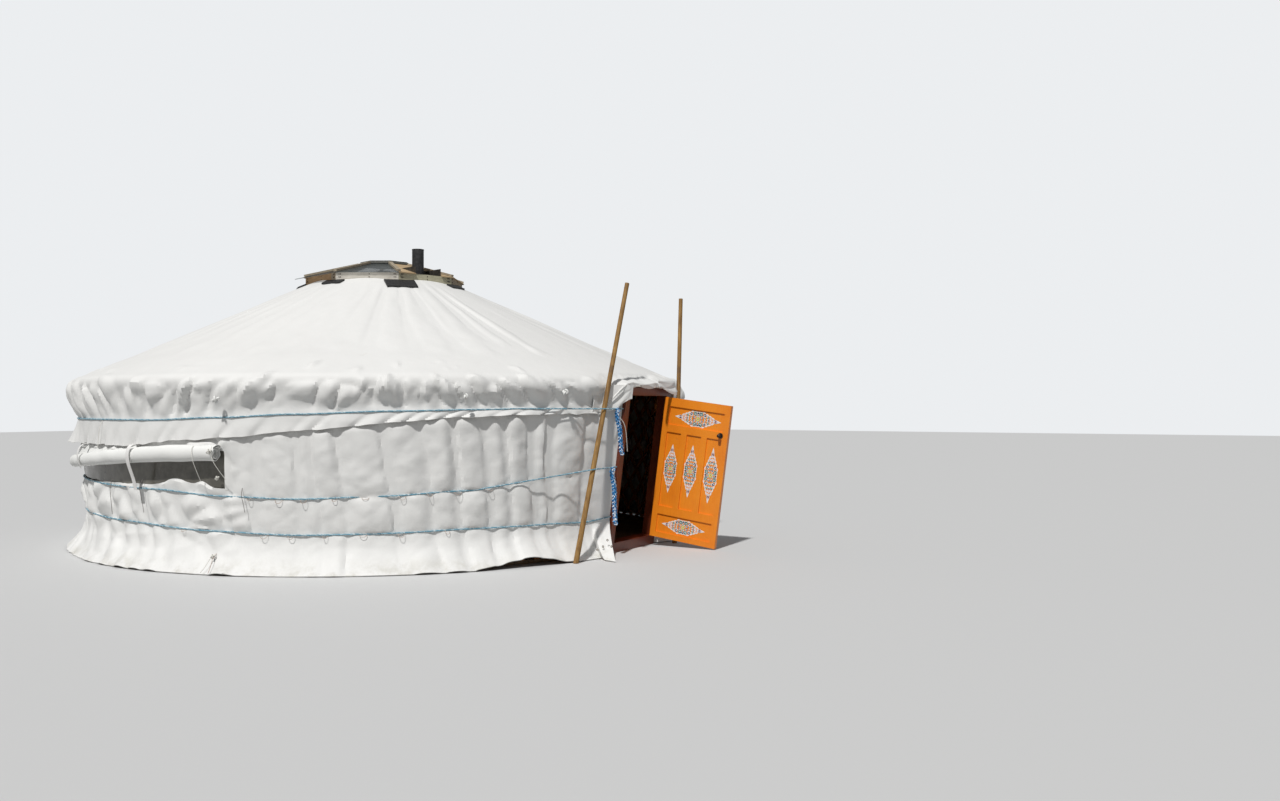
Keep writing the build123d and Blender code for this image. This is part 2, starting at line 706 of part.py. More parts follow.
def crown_pads():
    """Rubber pads that lap out from under the corners of the crown box onto the roof."""
    pads = []
    for number in range(BOX_SIDES):
        angle = BOX_TURN + 2 * BOX_HALF_SIDE * number
        front = number == FRONT_CORNER
        length = FRONT_PAD_REACH if front else PAD_REACH
        width = FRONT_PAD_WIDTH if front else PAD_WIDTH
        eave, crown = roof_line(angle)
        share = (BOX_RADIUS + PAD_GAP - ROOF_TOP_RADIUS) / (EAVE_RADIUS - ROOF_TOP_RADIUS)
        start = between(crown, eave, share)
        down = (eave - crown).normalized()
        plane = Plane(origin=start, x_dir=down, z_dir=down.cross(heading(angle + 90)))
        pad = Box(length, width, PAD_THICKNESS, align=(Align.MIN, Align.CENTER, Align.MIN))
        pads.append(plane.location * Pos(0, 0, 2 * SOFT_GAP) * pad)
    return pads


def flue_pipe():
    outline = Circle(FLUE_RADIUS) - Circle(FLUE_RADIUS - FLUE_WALL)
    return Pos(FLUE_X, FLUE_Y, FLUE_BASE) * extrude(outline, FLUE_TOP - FLUE_BASE)


def flue_flashing():
    """An open metal tray that the flue passes through, set on the board of the box."""
    back, front = flashing_reach()
    half = FLASHING_WIDTH / 2
    tray = block((back, -half, BOARD_TOP), (front, half, BOARD_TOP + FLASHING_RISE + FLASHING_WALL))
    hollow = block((back + FLASHING_WALL, FLASHING_WALL - half, BOARD_TOP + FLASHING_WALL),
                   (2 * front, half - FLASHING_WALL, FLUE_TOP))
    hole = Pos(FLUE_X, FLUE_Y, BOARD_BASE) * extrude(Circle(FLUE_RADIUS + SOFT_GAP), FLUE_TOP - BOARD_BASE)
    return flue_frame(tray - hollow) - hole


# Door
DOOR_TILT = radians(DOOR_LEAN)
DOOR_PLANE = Plane(origin=(0, -DOOR_RADIUS, 0), x_dir=(1, 0, 0),
                   z_dir=(0, -cos(DOOR_TILT), -sin(DOOR_TILT)))
LEAF_WIDTH = OPENING_WIDTH - 2 * LEAF_CLEARANCE
LEAF_BASE = OPENING_BASE + LEAF_CLEARANCE
LEAF_TOP = OPENING_TOP - LEAF_CLEARANCE
HINGE_X = (OPENING_WIDTH - LEAF_CLEARANCE) / 2
HINGE_OUT = KNUCKLE_RADIUS + HINGE_LIFT


def on_door(shape):
    """Moves a shape from the door's own plane, X across, Y up and Z outwards, to its place."""
    return DOOR_PLANE.location * shape


def as_open(shape):
    """Swings a shape drawn on the closed leaf about the hinges, and moves it to its place."""
    axis = Axis((HINGE_X, 0, HINGE_OUT), (0, 1, 0))
    return on_door(shape.rotate(axis, OPEN_ANGLE))


def door_frame():
    """The threshold, the two jambs and the lintel, cut level at the ground."""
    ground = block((-DOOR_RADIUS, -2 * DOOR_RADIUS, -DOOR_RADIUS), (DOOR_RADIUS, 0, 0))
    half = OPENING_WIDTH / 2
    foot = -FRAME_DEPTH
    left = on_door(block((-JAMB_OUTSIDE, foot, -FRAME_DEPTH), (-half, LINTEL_TOP, 0))) - ground
    right = on_door(block((half, foot, -FRAME_DEPTH), (JAMB_OUTSIDE, LINTEL_TOP, 0))) - ground
    threshold = on_door(block((-half, foot, -FRAME_DEPTH), (half, OPENING_BASE, 0))) - ground
    lintel = on_door(block((-half, OPENING_TOP, -FRAME_DEPTH), (half, LINTEL_TOP, 0)))
    return {"door_threshold": threshold, "door_jamb_left": left, "door_jamb_right": right,
            "door_lintel": lintel}


def leaf_windows():
    """The five panel openings of the leaf, as low and high corners in the leaf's plane."""
    left = LEAF_STILE - LEAF_WIDTH / 2
    right = -left
    rails = [(LEAF_BASE + base, LEAF_BASE + base + height) for base, height in LEAF_RAILS]
    bottom = (left, rails[0][1], right, rails[1][0])
    top = (left, rails[2][1], right, rails[3][0])
    width = (right - left - 2 * LEAF_MUNTIN) / 3
    middle = []
    for place in range(3):
        edge = left + place * (width + LEAF_MUNTIN)
        middle.append((edge, rails[1][1], edge + width, rails[2][0]))
    return [bottom, top] + middle


def leaf_frame():
    half = LEAF_WIDTH / 2
    leaf = block((-half, LEAF_BASE, -LEAF_THICKNESS), (half, LEAF_TOP, 0))
    for x0, y0, x1, y1 in leaf_windows():
        leaf -= block((x0, y0, -2 * LEAF_THICKNESS), (x1, y1, LEAF_THICKNESS))
    return as_open(leaf)


def leaf_panels():
    middle = -LEAF_THICKNESS / 2
    return [as_open(block((x0, y0, middle - LEAF_PANEL / 2), (x1, y1, middle + LEAF_PANEL / 2)))
            for x0, y0, x1, y1 in leaf_windows()]


def leaf_latch():
    """A round knob on a rose, on each face of the leaf."""
    x = LATCH_INSET - LEAF_WIDTH / 2
    y = LEAF_TOP - LATCH_DROP
    knobs = []
    for side, face in ((1, 0), (-1, -LEAF_THICKNESS)):
        rose = Pos(0, 0, ROSE_THICKNESS / 2) * Cylinder(ROSE_RADIUS, ROSE_THICKNESS)
        neck = Pos(0, 0, KNOB_REACH / 2) * Cylinder(KNOB_RADIUS / 2, KNOB_REACH)
        ball = Pos(0, 0, KNOB_REACH) * Sphere(KNOB_RADIUS)
        knob = rose + neck + ball
        if side < 0:
            knob = Rot(180, 0, 0) * knob
        knobs.append(as_open(Pos(x, y, face) * knob))
    return knobs


def hinge_heights():
    return LEAF_BASE + HINGE_INSET, LEAF_TOP - HINGE_INSET


def frame_hinges():
    """On the jamb, a plate with a knuckle and an upright pin, at each hinge."""
    hinges = []
    for base in hinge_heights():
        knuckle = Cylinder(KNUCKLE_RADIUS, KNUCKLE_HEIGHT, align=(Align.CENTER, Align.CENTER, Align.MAX))
        pin = Cylinder(PIN_RADIUS, KNUCKLE_HEIGHT, align=(Align.CENTER, Align.CENTER, Align.MIN))
        post = Pos(HINGE_X, base, HINGE_OUT) * Rot(-90, 0, 0) * (knuckle + pin)
        arm = block((OPENING_WIDTH / 2, base - KNUCKLE_HEIGHT, 0),
                    (OPENING_WIDTH / 2 + HINGE_LEAF, base, HINGE_PLATE))
        hinges.append(on_door(post + arm))
    return hinges


def leaf_hinges():
    """On the leaf, a knuckle that turns on the pin and a plate on the leaf's face."""
    hinges = []
    edge = LEAF_WIDTH / 2
    for base in hinge_heights():
        low = base + SOFT_GAP
        height = KNUCKLE_HEIGHT - SOFT_GAP
        on_pin = Pos(HINGE_X, low, HINGE_OUT) * Rot(-90, 0, 0)
        clear = Circle(PIN_RADIUS + PIN_CLEARANCE)
        knuckle = on_pin * extrude(Circle(KNUCKLE_RADIUS) - clear, height)
        strap = block((edge - HINGE_LEAF, low, 0), (edge, low + height, HINGE_PLATE))
        bore = on_pin * extrude(clear, height)
        hinges.append(as_open(knuckle + (strap - bore)))
    return hinges


# Ropes and door poles
def pole_at(pole, height):
    foot, tip = Vector(*pole[0]), Vector(*pole[1])
    share = (height - foot.Z) / (tip.Z - foot.Z)
    radius = POLE_FOOT_RADIUS + (POLE_TIP_RADIUS - POLE_FOOT_RADIUS) * share
    return between(foot, tip, share), radius


def door_pole(pole):
    foot, tip = Vector(*pole[0]), Vector(*pole[1])
    plane = Plane(origin=foot, z_dir=tip - foot)
    length = (tip - foot).length
    taper = Solid.make_cone(POLE_FOOT_RADIUS, POLE_TIP_RADIUS, length, plane)
    deep = Solid.make_cylinder(POLE_FOOT_RADIUS, 2 * POLE_FOOT_RADIUS, Plane(origin=foot, z_dir=foot - tip))
    ground = block((-DOOR_RADIUS, -2 * DOOR_RADIUS, -DOOR_RADIUS), (DOOR_RADIUS, 0, 0))
    return (taper + deep) - ground


def rope_points(stations, standoff, over_poles):
    """A girth rope's centre line, from one jamb round the wall to the other."""
    def on_wall(angle):
        height = height_at(stations, angle)
        radius = wall_radius(height) + hem_flare(height - ROPE_RADIUS) + standoff + ROPE_RADIUS + SOFT_GAP
        return heading(angle) * radius + Vector(0, 0, height)

    def at_jamb(side, angle):
        height = height_at(stations, angle)
        clear = ROPE_RADIUS + SOFT_GAP
        return Vector(side * (JAMB_OUTSIDE + clear), JAMB_SETBACK - door_depth(height) - 2 * clear, height)

    start = [at_jamb(1, DOOR_ANGLE)]
    finish = [at_jamb(-1, DOOR_ANGLE + FULL_TURN)]
    first, last = FIRST_COLUMN, LAST_COLUMN
    if over_poles:
        for side, pole, ends in ((1, RIGHT_POLE, start), (-1, LEFT_POLE, finish)):
            end_angle = DOOR_ANGLE if side > 0 else DOOR_ANGLE + FULL_TURN
            centre, radius = pole_at(pole, height_at(stations, end_angle))
            facing = degrees(atan2(centre.Y, centre.X))
            clear = (radius + ROPE_RADIUS + 2 * SOFT_GAP) / cos(radians(POLE_WRAP))
            ends.append(centre + heading(facing - side * POLE_WRAP) * clear)
            crossing = centre + heading(facing + side * POLE_WRAP) * clear
            ends.append(crossing)
            turn = abs(facing + 90)
            round_radius = wall_radius(centre.Z) + standoff + ROPE_RADIUS
            away = turn + degrees(acos(round_radius / hypot(crossing.X, crossing.Y)))
            skipped = max(0, int((away - RETURN_ANGLE) // COVER_STEP))
            if side > 0:
                first = FIRST_COLUMN + skipped * COVER_STEP
            else:
                last = LAST_COLUMN - skipped * COVER_STEP
    return start + [on_wall(angle) for angle in cover_angles(first, last)] + finish[::-1]


def hank(points):
    """A hanging hank of rope, as straight runs joined by tangent arcs."""
    corners = [Vector(*point) for point in points]
    radii = []
    for before, corner, after in zip(corners, corners[1:], corners[2:]):
        turn = radians((corner - before).get_angle(after - corner))
        shorter = min((corner - before).length, (after - corner).length)
        radii.append(HANK_CURVE_SHARE * shorter / tan(turn / 2))
    path = FilletPolyline(*corners, radius=radii)
    start = Plane(origin=path @ 0, z_dir=path % 0)
    return sweep(start * Circle(HANK_RADIUS), path=path)


def main():
    os.makedirs("parts", exist_ok=True)
    save("floor_deck", [floor_deck()])
    for number, section in enumerate(lattice_sections()):
        save("lattice_wall_%d" % (number + 1), [section])
    for number, cover in enumerate(wall_covers()):
        save("wall_cover_%d" % (number + 1), [cover])
    for number, cover in enumerate(roof_covers()):
        save("roof_cover_%d" % (number + 1), [cover])
    save("window_pane", [window_pane()])
    save("window_roll", [window_roll()])
    save("roof_poles", roof_poles())
    save("crown_ring", [crown_ring()])
    save("crown_spokes", [crown_spokes()])
    save("crown_boards", crown_boards())
    clear, boarded = crown_panels()
    save("crown_panes", clear)
    save("crown_ply", boarded)
    save("crown_hips", crown_hips())
    save("crown_cap", [crown_cap()])
    save("crown_pads", crown_pads())
    save("flue_pipe", [flue_pipe()])
    save("flue_flashing", [flue_flashing()])
    for node, shape in door_frame().items():
        save(node, [shape])
    save("leaf_frame", [leaf_frame()])
    save("leaf_panels", leaf_panels())
    save("leaf_latch", leaf_latch())
    save("leaf_hinges", leaf_hinges())
    save("frame_hinges", frame_hinges())
    save("door_pole_left", [door_pole(LEFT_POLE)])
    save("door_pole_right", [door_pole(RIGHT_POLE)])
    lap = SOFT_GAP + COVER_THICKNESS
    save("rope_top", [tube(rope_points(TOP_ROPE, lap, True), ROPE_RADIUS)])
    save("rope_middle", [tube(rope_points(MIDDLE_ROPE, 0, True), ROPE_RADIUS)])
    save("rope_low", [tube(rope_points(LOW_ROPE, 0, False), ROPE_RADIUS)])
    save("rope_hank_upper", [hank(UPPER_HANK)])
    save("rope_hank_lower", [hank(LOWER_HANK)])


main()
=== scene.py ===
"""The looks of a round canvas tent house: cloth, timber, paint, ropes, light and camera."""

from contextlib import contextmanager
from math import acos, atan2, cos, degrees, hypot, pi, radians, sin, tan

import bmesh
import bpy
import numpy as np
from mathutils import Matrix, Vector


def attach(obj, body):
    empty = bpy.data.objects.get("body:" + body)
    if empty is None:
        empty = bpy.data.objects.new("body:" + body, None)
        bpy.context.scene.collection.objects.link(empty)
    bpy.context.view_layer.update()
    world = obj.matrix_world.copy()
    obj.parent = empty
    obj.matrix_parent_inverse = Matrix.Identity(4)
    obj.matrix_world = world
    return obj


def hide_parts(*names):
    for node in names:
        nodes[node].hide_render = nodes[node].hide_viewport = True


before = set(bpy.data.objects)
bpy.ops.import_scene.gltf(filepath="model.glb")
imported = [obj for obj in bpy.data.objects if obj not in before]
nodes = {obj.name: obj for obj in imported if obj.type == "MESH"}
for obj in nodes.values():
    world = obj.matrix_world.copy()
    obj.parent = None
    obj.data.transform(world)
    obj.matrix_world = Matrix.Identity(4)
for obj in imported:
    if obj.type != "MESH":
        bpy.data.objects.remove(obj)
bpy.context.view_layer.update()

# Sizes that the cloth, the ropes and the trim share, in metres and degrees. An angle
# runs round the wall from 270 at the middle of the doorway to 630, the same place again.
DOORWAY = 270
# The wall: its radius at the ground, its widening, its cloth's width and top edge, its hem
WALL_FOOT = 2.782
WALL_SLOPE = tan(radians(3.8))
COVER_TOP = 1.455
HEM_FLARE = 0.175
HEM_HEIGHT = 0.3
# Where the wall's cloth ends beside the door, its closing strips, and the cloth's columns
CORNER = 12.5
FIRST_ANGLE = DOORWAY + CORNER
LAST_ANGLE = DOORWAY + 360 - CORNER
STRIP_WIDTH = 4.5
COLUMN_STEP = 0.4
# The lattice's end beside the door, and its poles
LATTICE_END = 9.6
LATTICE_CELLS = 55
# The window
WINDOW_START = 502.45
WINDOW_END = 555.35
SILL = 0.62
WINDOW_HEAD = 0.94
# The roof's eave and the edge of its crown, and the crown's box of eight sides
EAVE_RADIUS = 2.86
EAVE_HEIGHT = 1.54
CROWN_CENTRE = Vector((-0.060, 0.067, 0))
CROWN_RADIUS = 0.7
CROWN_HEIGHT = 2.527
BOX_RADIUS = 0.790
BOX_SIDE = 45
BOX_TURN = 6
# The eave's lip, the hood over the door, and the loose band under the eave
EAVE_LIP = 0.094
LIP_HEIGHT = 1.425
HOOD_FRONT = 3.03
HOOD_HEIGHT = 1.478
BAND_OUT = 0.0163
# The door frame, which leans back
JAMB_OUTSIDE = 0.4125
DOOR_FOOT = -2.8
DOOR_FACE = DOOR_FOOT + 0.03
DOOR_LEAN = radians(7.5)
# The girth ropes, and the two poles that they wrap
ROPE_RADIUS = 0.006
ROPE_GAP = 0.0003
ROPE_STEP = 0.0085
POLE_RADIUS = 0.023
POLE_TAPER = 0.004
WRAP = 16
LEFT_POLE = ((-0.985, -2.830, 0), (-0.375, -2.965, 2.345))
RIGHT_POLE = ((0.550, -2.950, 0), (0.820, -2.880, 2.320))

# Levels round the wall: each angle with its height in millimetres
TOP_ROPE = ((270, 1240), (430, 1210), (510, 1176), (541, 1176), (555, 1198),
            (567, 1224), (582, 1247), (595, 1258), (610, 1275), (630, 1262))
MIDDLE_ROPE = ((270, 690), (430, 650), (506, 653), (541, 628), (555, 591), (567, 575),
               (580, 593), (592, 619), (607, 674), (620, 735), (630, 760))
LOW_ROPE = ((270, 330), (430, 350), (506, 369), (534, 353), (553, 318), (567, 298),
            (579, 304), (593, 317), (607, 314), (616, 301), (630, 330))
BAND_EDGE = ((270, 1140), (430, 1060), (507, 970), (534, 970), (549, 1022), (558, 1049),
             (567, 1096), (582, 1159), (590, 1199), (605, 1220), (630, 1220))


# Small helpers
def smooth(share):
    share = np.clip(share, 0, 1)
    return share * share * (3 - 2 * share)


def level_along(stations, angle):
    """The height in metres that eases from one station to the next round the wall."""
    at, level = np.array(stations, float).T
    place = np.clip(np.searchsorted(at, angle) - 1, 0, len(at) - 2)
    share = smooth((angle - at[place]) / (at[place + 1] - at[place]))
    return (level[place] + (level[place + 1] - level[place]) * share) / 1000


def level_at(stations, angle):
    return float(level_along(stations, np.array(angle)))


def rough(across, up, seed):
    """A smooth random surface between -1 and 1, with its bumps about one unit apart."""
    across, up = np.broadcast_arrays(across, up)
    table = np.random.default_rng(seed).uniform(-1, 1, (256, 256))
    column, row = np.floor(across).astype(int), np.floor(up).astype(int)
    u, v = smooth(across - column), smooth(up - row)
    column, row = column % 256, row % 256
    beside, above = (column + 1) % 256, (row + 1) % 256
    low = table[column, row] * (1 - u) + table[beside, row] * u
    high = table[column, above] * (1 - u) + table[beside, above] * u
    return low * (1 - v) + high * v


def facets(across, up, seed):
    """The dents of crushed cloth: sharp valleys on two slants, from 0 in a valley to 1."""
    wide = across + 0.45 * rough(across * 0.9, up * 1.3, seed)
    high = up + 0.35 * rough(across * 0.7, up, seed + 1)
    one = np.abs((wide + high) % 1 - 0.5) * 2
    other = np.abs((wide * 0.9 - high + 0.31) % 1 - 0.5) * 2
    return np.minimum(one, other)


def fold_lines(seed, spacing, start, end):
    """Angles an uneven spacing apart, where the cloth is drawn in."""
    dice = np.random.default_rng(seed)
    lines = [start]
    while lines[-1] < end:
        lines.append(lines[-1] + spacing * dice.uniform(0.55, 1.5))
    return np.array(lines)


def folds(angle, lines, seed, sharp, soft):
    """Broad swells parted by narrow valleys at the lines, from 0 in a deep valley to about 1."""
    dice = np.random.default_rng(seed)
    depth = dice.uniform(0.30, 1.15, len(lines))
    steep = dice.random(len(lines)) < 0.6
    size = dice.uniform(0.55, 1.0, len(lines))
    cell = np.clip(np.searchsorted(lines, angle) - 1, 0, len(lines) - 2)
    width = lines[cell + 1] - lines[cell]
    share = np.clip((angle - lines[cell]) / width, 0, 1)
    swell = 0.45 + 0.55 * np.sin(pi * share)
    swell = swell * (size[cell] + (size[cell + 1] - size[cell]) * smooth(share))
    for place in (cell, cell + 1):
        offset = angle - lines[place]
        reach = np.where((offset < 0) == steep[place], sharp, soft)
        swell = swell - 0.8 * depth[place] * np.exp(-(offset / reach) ** 2)
    return swell


def only(*things):
    """Selects these objects and no other, with the first one active."""
    bpy.ops.object.select_all(action="DESELECT")
    for thing in things:
        thing.select_set(True)
    if things:
        bpy.context.view_layer.objects.active = things[0]


def apply_modifier(thing, kind, **settings):
    only(thing)
    modifier = thing.modifiers.new(kind.title(), kind)
    for name, value in settings.items():
        setattr(modifier, name, value)
    bpy.ops.object.modifier_apply(modifier=modifier.name)


def smooth_faces(thing, angle):
    only(thing)
    bpy.ops.object.shade_smooth_by_angle(angle=radians(angle))
    return thing


def join(things, name):
    """Makes one object of several."""
    only(*things)
    bpy.ops.object.join()
    things[0].name = name
    return things[0]


def finish_piece(thing, name, paint=None, replaced=(), body="yurt"):
    """Names a piece, paints it unless it has its paints, and hangs it on its body."""
    thing.name = name
    thing.data.name = name
    if paint:
        thing.data.materials.clear()
        thing.data.materials.append(paint.material)
    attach(thing, body)
    if replaced:
        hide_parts(*replaced)
    return thing


def put_points(thing, places):
    thing.data.vertices.foreach_set("co", places.reshape(-1).astype(np.float32))
    thing.data.update()
    return thing


def points_of(thing):
    places = np.empty(len(thing.data.vertices) * 3)
    thing.data.vertices.foreach_get("co", places)
    return places.reshape(-1, 3)


def surface(name, points):
    """A grid of faces pulled to points[column, row]."""
    only()
    columns, rows = points.shape[:2]
    bpy.ops.mesh.primitive_grid_add(x_subdivisions=columns - 1, y_subdivisions=rows - 1, size=1)
    thing = bpy.context.object
    thing.name = name
    return put_points(thing, points.transpose(1, 0, 2))


@contextmanager
def edited(thing):
    """A thing's mesh, open for changes, which are written back at the end."""
    mesh = bmesh.new()
    mesh.from_mesh(thing.data)
    yield mesh
    mesh.to_mesh(thing.data)
    mesh.free()


def copy_of(thing, places):
    """A copy with its own mesh, moved to its own places."""
    twin = thing.copy()
    twin.data = thing.data.copy()
    bpy.context.collection.objects.link(twin)
    return put_points(twin, places)


def unit_grid(columns, rows):
    """Shares from 0 to 1 along and down a sheet."""
    return np.meshgrid(np.linspace(0, 1, columns), np.linspace(0, 1, rows), indexing="ij")


def evenly(points, gap=None, count=None):
    """Points the same distance apart along a line, and how far along each one is."""
    run = np.concatenate([[0], np.cumsum(np.linalg.norm(np.diff(points, axis=0), axis=1))])
    at = np.linspace(0, run[-1], count or max(2, round(run[-1] / gap)) + 1)
    return np.stack([np.interp(at, run, points[:, axis]) for axis in range(3)], axis=-1), at


def eased(line, times):
    """A line with its corners rounded off."""
    for _ in range(times):
        line[1:-1] = line[1:-1] * 0.5 + (line[:-2] + line[2:]) * 0.25
    return line


def across_of(line):
    """Two directions across a line at each of its points, carried along without a twist."""
    along = np.gradient(line, axis=0)
    along /= np.linalg.norm(along, axis=1, keepdims=True)
    side = np.cross(along[0], (0, 0, 1) if abs(along[0][2]) < 0.9 else (1, 0, 0))
    sides = []
    for direction in along:
        side = side - direction * (side @ direction)
        side = side / np.linalg.norm(side)
        sides.append(side)
    sides = np.array(sides)
    return sides, np.cross(along, sides)


def strand(name, line, at, radius, around, lobes=0, pitch=1.0):
    """A closed round or twisted strand along a line. Its UV is metres along and a share around."""
    sides, ups = across_of(line)
    line, sides, ups, at = (np.concatenate([part[:1], part, part[-1:]])
                            for part in (line, sides, ups, at))
    turn = np.linspace(0, 2 * pi, around + 1)[None, :]
    angle = -turn + (2 * pi * at[:, None] / pitch if lobes else 0)
    ridges = 0.8 + 0.2 * np.abs(np.cos(lobes * turn / 2)) if lobes else 1 + 0 * turn
    reach = np.broadcast_to(radius, (len(at), 1)) * ridges
    reach[[0, -1]] = 0
    points = line[:, None] + reach[..., None] * (np.cos(angle)[..., None] * sides[:, None]
                                                 + np.sin(angle)[..., None] * ups[:, None])
    thing = surface(name, points)
    chart = thing.data.uv_layers[0].data
    places = np.empty(len(chart) * 2)
    chart.foreach_get("uv", places)
    chart.foreach_set("uv", (places.reshape(-1, 2) * (at[-1], 1)).reshape(-1).astype(np.float32))
    with edited(thing) as mesh:
        bmesh.ops.remove_doubles(mesh, verts=mesh.verts[:], dist=0.00001)
    return smooth_faces(thing, 70)


def spline_line(route, name):
    """The line of one smooth spline with the route's points as its control points."""
    curve = bpy.data.curves.new(name, "CURVE")
    curve.dimensions = "3D"
    spline = curve.splines.new("NURBS")
    spline.points.add(len(route) - 1)
    for point, place in zip(spline.points, route):
        point.co = (*place, 1)
    spline.order_u = 3
    spline.use_endpoint_u = True
    guide = bpy.data.objects.new(name, curve)
    bpy.context.collection.objects.link(guide)
    bpy.context.view_layer.update()
    mesh = bpy.data.meshes.new_from_object(guide)
    line = np.array([tuple(vertex.co) for vertex in mesh.vertices])
    bpy.data.objects.remove(guide)
    bpy.data.meshes.remove(mesh)
    return line


def knot(name, place, size, thick, paint, lean=0.0):
    """A drawn knot, as a strand that winds round itself."""
    turn = np.linspace(0, 2 * pi, 49)
    loop = np.stack([np.sin(turn) + 2 * np.sin(2 * turn), np.cos(turn) - 2 * np.cos(2 * turn),
                     -1.4 * np.sin(3 * turn)], axis=-1) * size / 3
    turned = Matrix.Rotation(lean, 3, "Z") @ Matrix.Rotation(radians(62), 3, "X")
    line, at = evenly(loop @ np.array(turned).T + np.array(place), size / 7)
    return finish_piece(strand(name, line, at, thick, 7), name, paint)


def outward_of(points):
    """The outward direction at each point of points[column, row]."""
    normal = np.cross(np.gradient(points, axis=0), np.gradient(points, axis=1))
    return normal / np.maximum(np.linalg.norm(normal, axis=2, keepdims=True), 1e-9)


def on_circle(angle, radius, height):
    turn = np.radians(angle)
    return np.stack([radius * np.cos(turn), radius * np.sin(turn), height], axis=-1)


def wall_radius(height):
    """The radius of the wall's plain outer face at a height."""
    return WALL_FOOT + height * WALL_SLOPE


def hem_flare(height):
    """How far the hem spreads out from the wall's plain slope."""
    return HEM_FLARE * np.clip(1 - height / HEM_HEIGHT, 0, 1) ** 2


def off_wall(angle, height, out):
    """A place beside the wall: its angle, its height and how far it stands out from the cloth."""
    radius = wall_radius(height) + float(hem_flare(height)) + out
    return (radius * cos(radians(angle)), radius * sin(radians(angle)), height)


def door_front(height):
    """How far forward the leaning door frame stands at a height."""
    return DOOR_FACE - height * tan(DOOR_LEAN)


def from_door(angle):
    """How far round from the doorway an angle is, to each side, and its place round the wall."""
    turn = (angle - DOORWAY + 180) % 360 - 180
    return turn, DOORWAY + turn % 360


# Paints and finishes
def maths(operation, backwards=False):
    """A method that puts its number, and any other value, through a maths node."""
    def method(self, *others):
        values = (*others, self) if backwards else (self, *others)
        return self.tree.add("Math", {"operation": operation}, dict(enumerate(values)))
    return method


class Number:
    """A socket that takes part in sums and products."""
    __add__ = __radd__ = maths("ADD")
    __sub__, __rsub__ = maths("SUBTRACT"), maths("SUBTRACT", True)
    __mul__, __truediv__ = maths("MULTIPLY"), maths("DIVIDE")
    __gt__, __lt__, larger = maths("GREATER_THAN"), maths("LESS_THAN"), maths("MAXIMUM")
    floor, fraction, size = maths("FLOOR"), maths("FRACT"), maths("ABSOLUTE")
    arctan = maths("ARCTAN2")

    def __init__(self, tree, socket):
        self.tree = tree
        self.socket = socket

    def between(self, low, high):
        """0 below low and 1 above high, with a soft step in between."""
        ranged = {"interpolation_type": "SMOOTHSTEP", "clamp": True}
        return self.tree.add("MapRange", ranged, {"Value": self, "From Min": low, "From Max": high})


class Tree:
    """A tree of shader nodes, built up node by node."""

    def __init__(self, node_tree):
        self.nodes = node_tree.nodes
        self.links = node_tree.links

    def fill(self, node, sockets):
        for key, value in sockets.items():
            if isinstance(value, Number):
                self.links.new(value.socket, node.inputs[key])
            else:
                node.inputs[key].default_value = value

    def add(self, kind, settings=None, sockets=None, output=0):
        """Adds a node, sets its settings first and then its sockets, and gives one output."""
        node = self.nodes.new("ShaderNode" + kind)
        for name, value in (settings or {}).items():
            setattr(node, name, value)
        self.fill(node, sockets or {})
        return Number(self, node.outputs[output])


class Paint(Tree):
    """One finish, built up on the standard shader."""

    def __init__(self, name, **constants):
        self.material = bpy.data.materials.new(name)
        self.material.use_nodes = True
        super().__init__(self.material.node_tree)
        self.shader = self.nodes["Principled BSDF"]
        for key, value in constants.items():
            title = key.replace("_", " ").title().replace("Ior", "IOR")
            self.shader.inputs[title].default_value = value
        self.where = self.add("TexCoord", output="Object")

    def axes(self, vector=None):
        node = self.add("SeparateXYZ", None, {0: vector or self.where}).socket.node
        return [Number(self, output) for output in node.outputs]

    def vector(self, x, y, z):
        return self.add("CombineXYZ", None, {0: x, 1: y, 2: z})

    def noise(self, scale, detail, roughness=0.5, stretch=None, at=None):
        """Noise in the object's own space, stretched or at another vector if given."""
        at = at or self.where
        if stretch:
            at = self.add("Mapping", None, {"Vector": at, "Scale": stretch})
        return self.add("TexNoise", None, {"Vector": at, "Scale": scale, "Detail": detail,
                                           "Roughness": roughness})

    def mix(self, low, high, share):
        """A colour between two colours."""
        ends = [colour if isinstance(colour, Number) else (*colour, 1) for colour in (low, high)]
        return self.add("Mix", {"data_type": "RGBA"}, {0: share, 6: ends[0], 7: ends[1]}, 2)

    def colour(self, value):
        self.fill(self.shader, {"Base Color": value})

    def bump(self, height, distance, strength):
        sockets = {"Height": height, "Distance": distance, "Strength": strength}
        self.fill(self.shader, {"Normal": self.add("Bump", None, sockets)})


def canvas_paint(name, colour, grime=0.0):
    """White proofed canvas: slight mottling, small creases, a weave, and dirt at the hem."""
    paint = Paint(name, roughness=0.62, specular_ior_level=0.35)
    cloud = paint.noise(1.1, 5, 0.6)
    streak = paint.noise(1.6, 4, 0.6, (5, 5, 0.7))
    tone = 0.93 + cloud * 0.08 + streak * 0.05
    shaded = paint.add("VectorMath", {"operation": "SCALE"}, {0: colour, "Scale": tone})
    if grime:
        height = paint.axes()[2]
        dirt = (1 - height.between(0.0, 0.16)) * paint.noise(5, 5, 0.7).between(0.42, 0.7)
        shaded = paint.mix(shaded, (0.42, 0.40, 0.33), dirt * grime)
    spots = paint.noise(3.2, 6, 0.75).between(0.66, 0.74) * 0.12
    paint.colour(paint.mix(shaded, (0.55, 0.53, 0.47), spots))
    soft, fine, weave = paint.noise(6, 5, 0.6), paint.noise(30, 4, 0.6), paint.noise(420, 1, 0.5)
    paint.bump(soft * 0.7 + fine * 0.16 + weave * 0.03, 0.016, 0.4)
    return paint


def felt_paint():
    paint = Paint("wool_felt", roughness=0.95)
    paint.colour(paint.mix((0.50, 0.47, 0.41), (0.70, 0.67, 0.60), paint.noise(14, 6, 0.7)))
    paint.bump(paint.noise(160, 3, 0.6), 0.003, 0.6)
    return paint


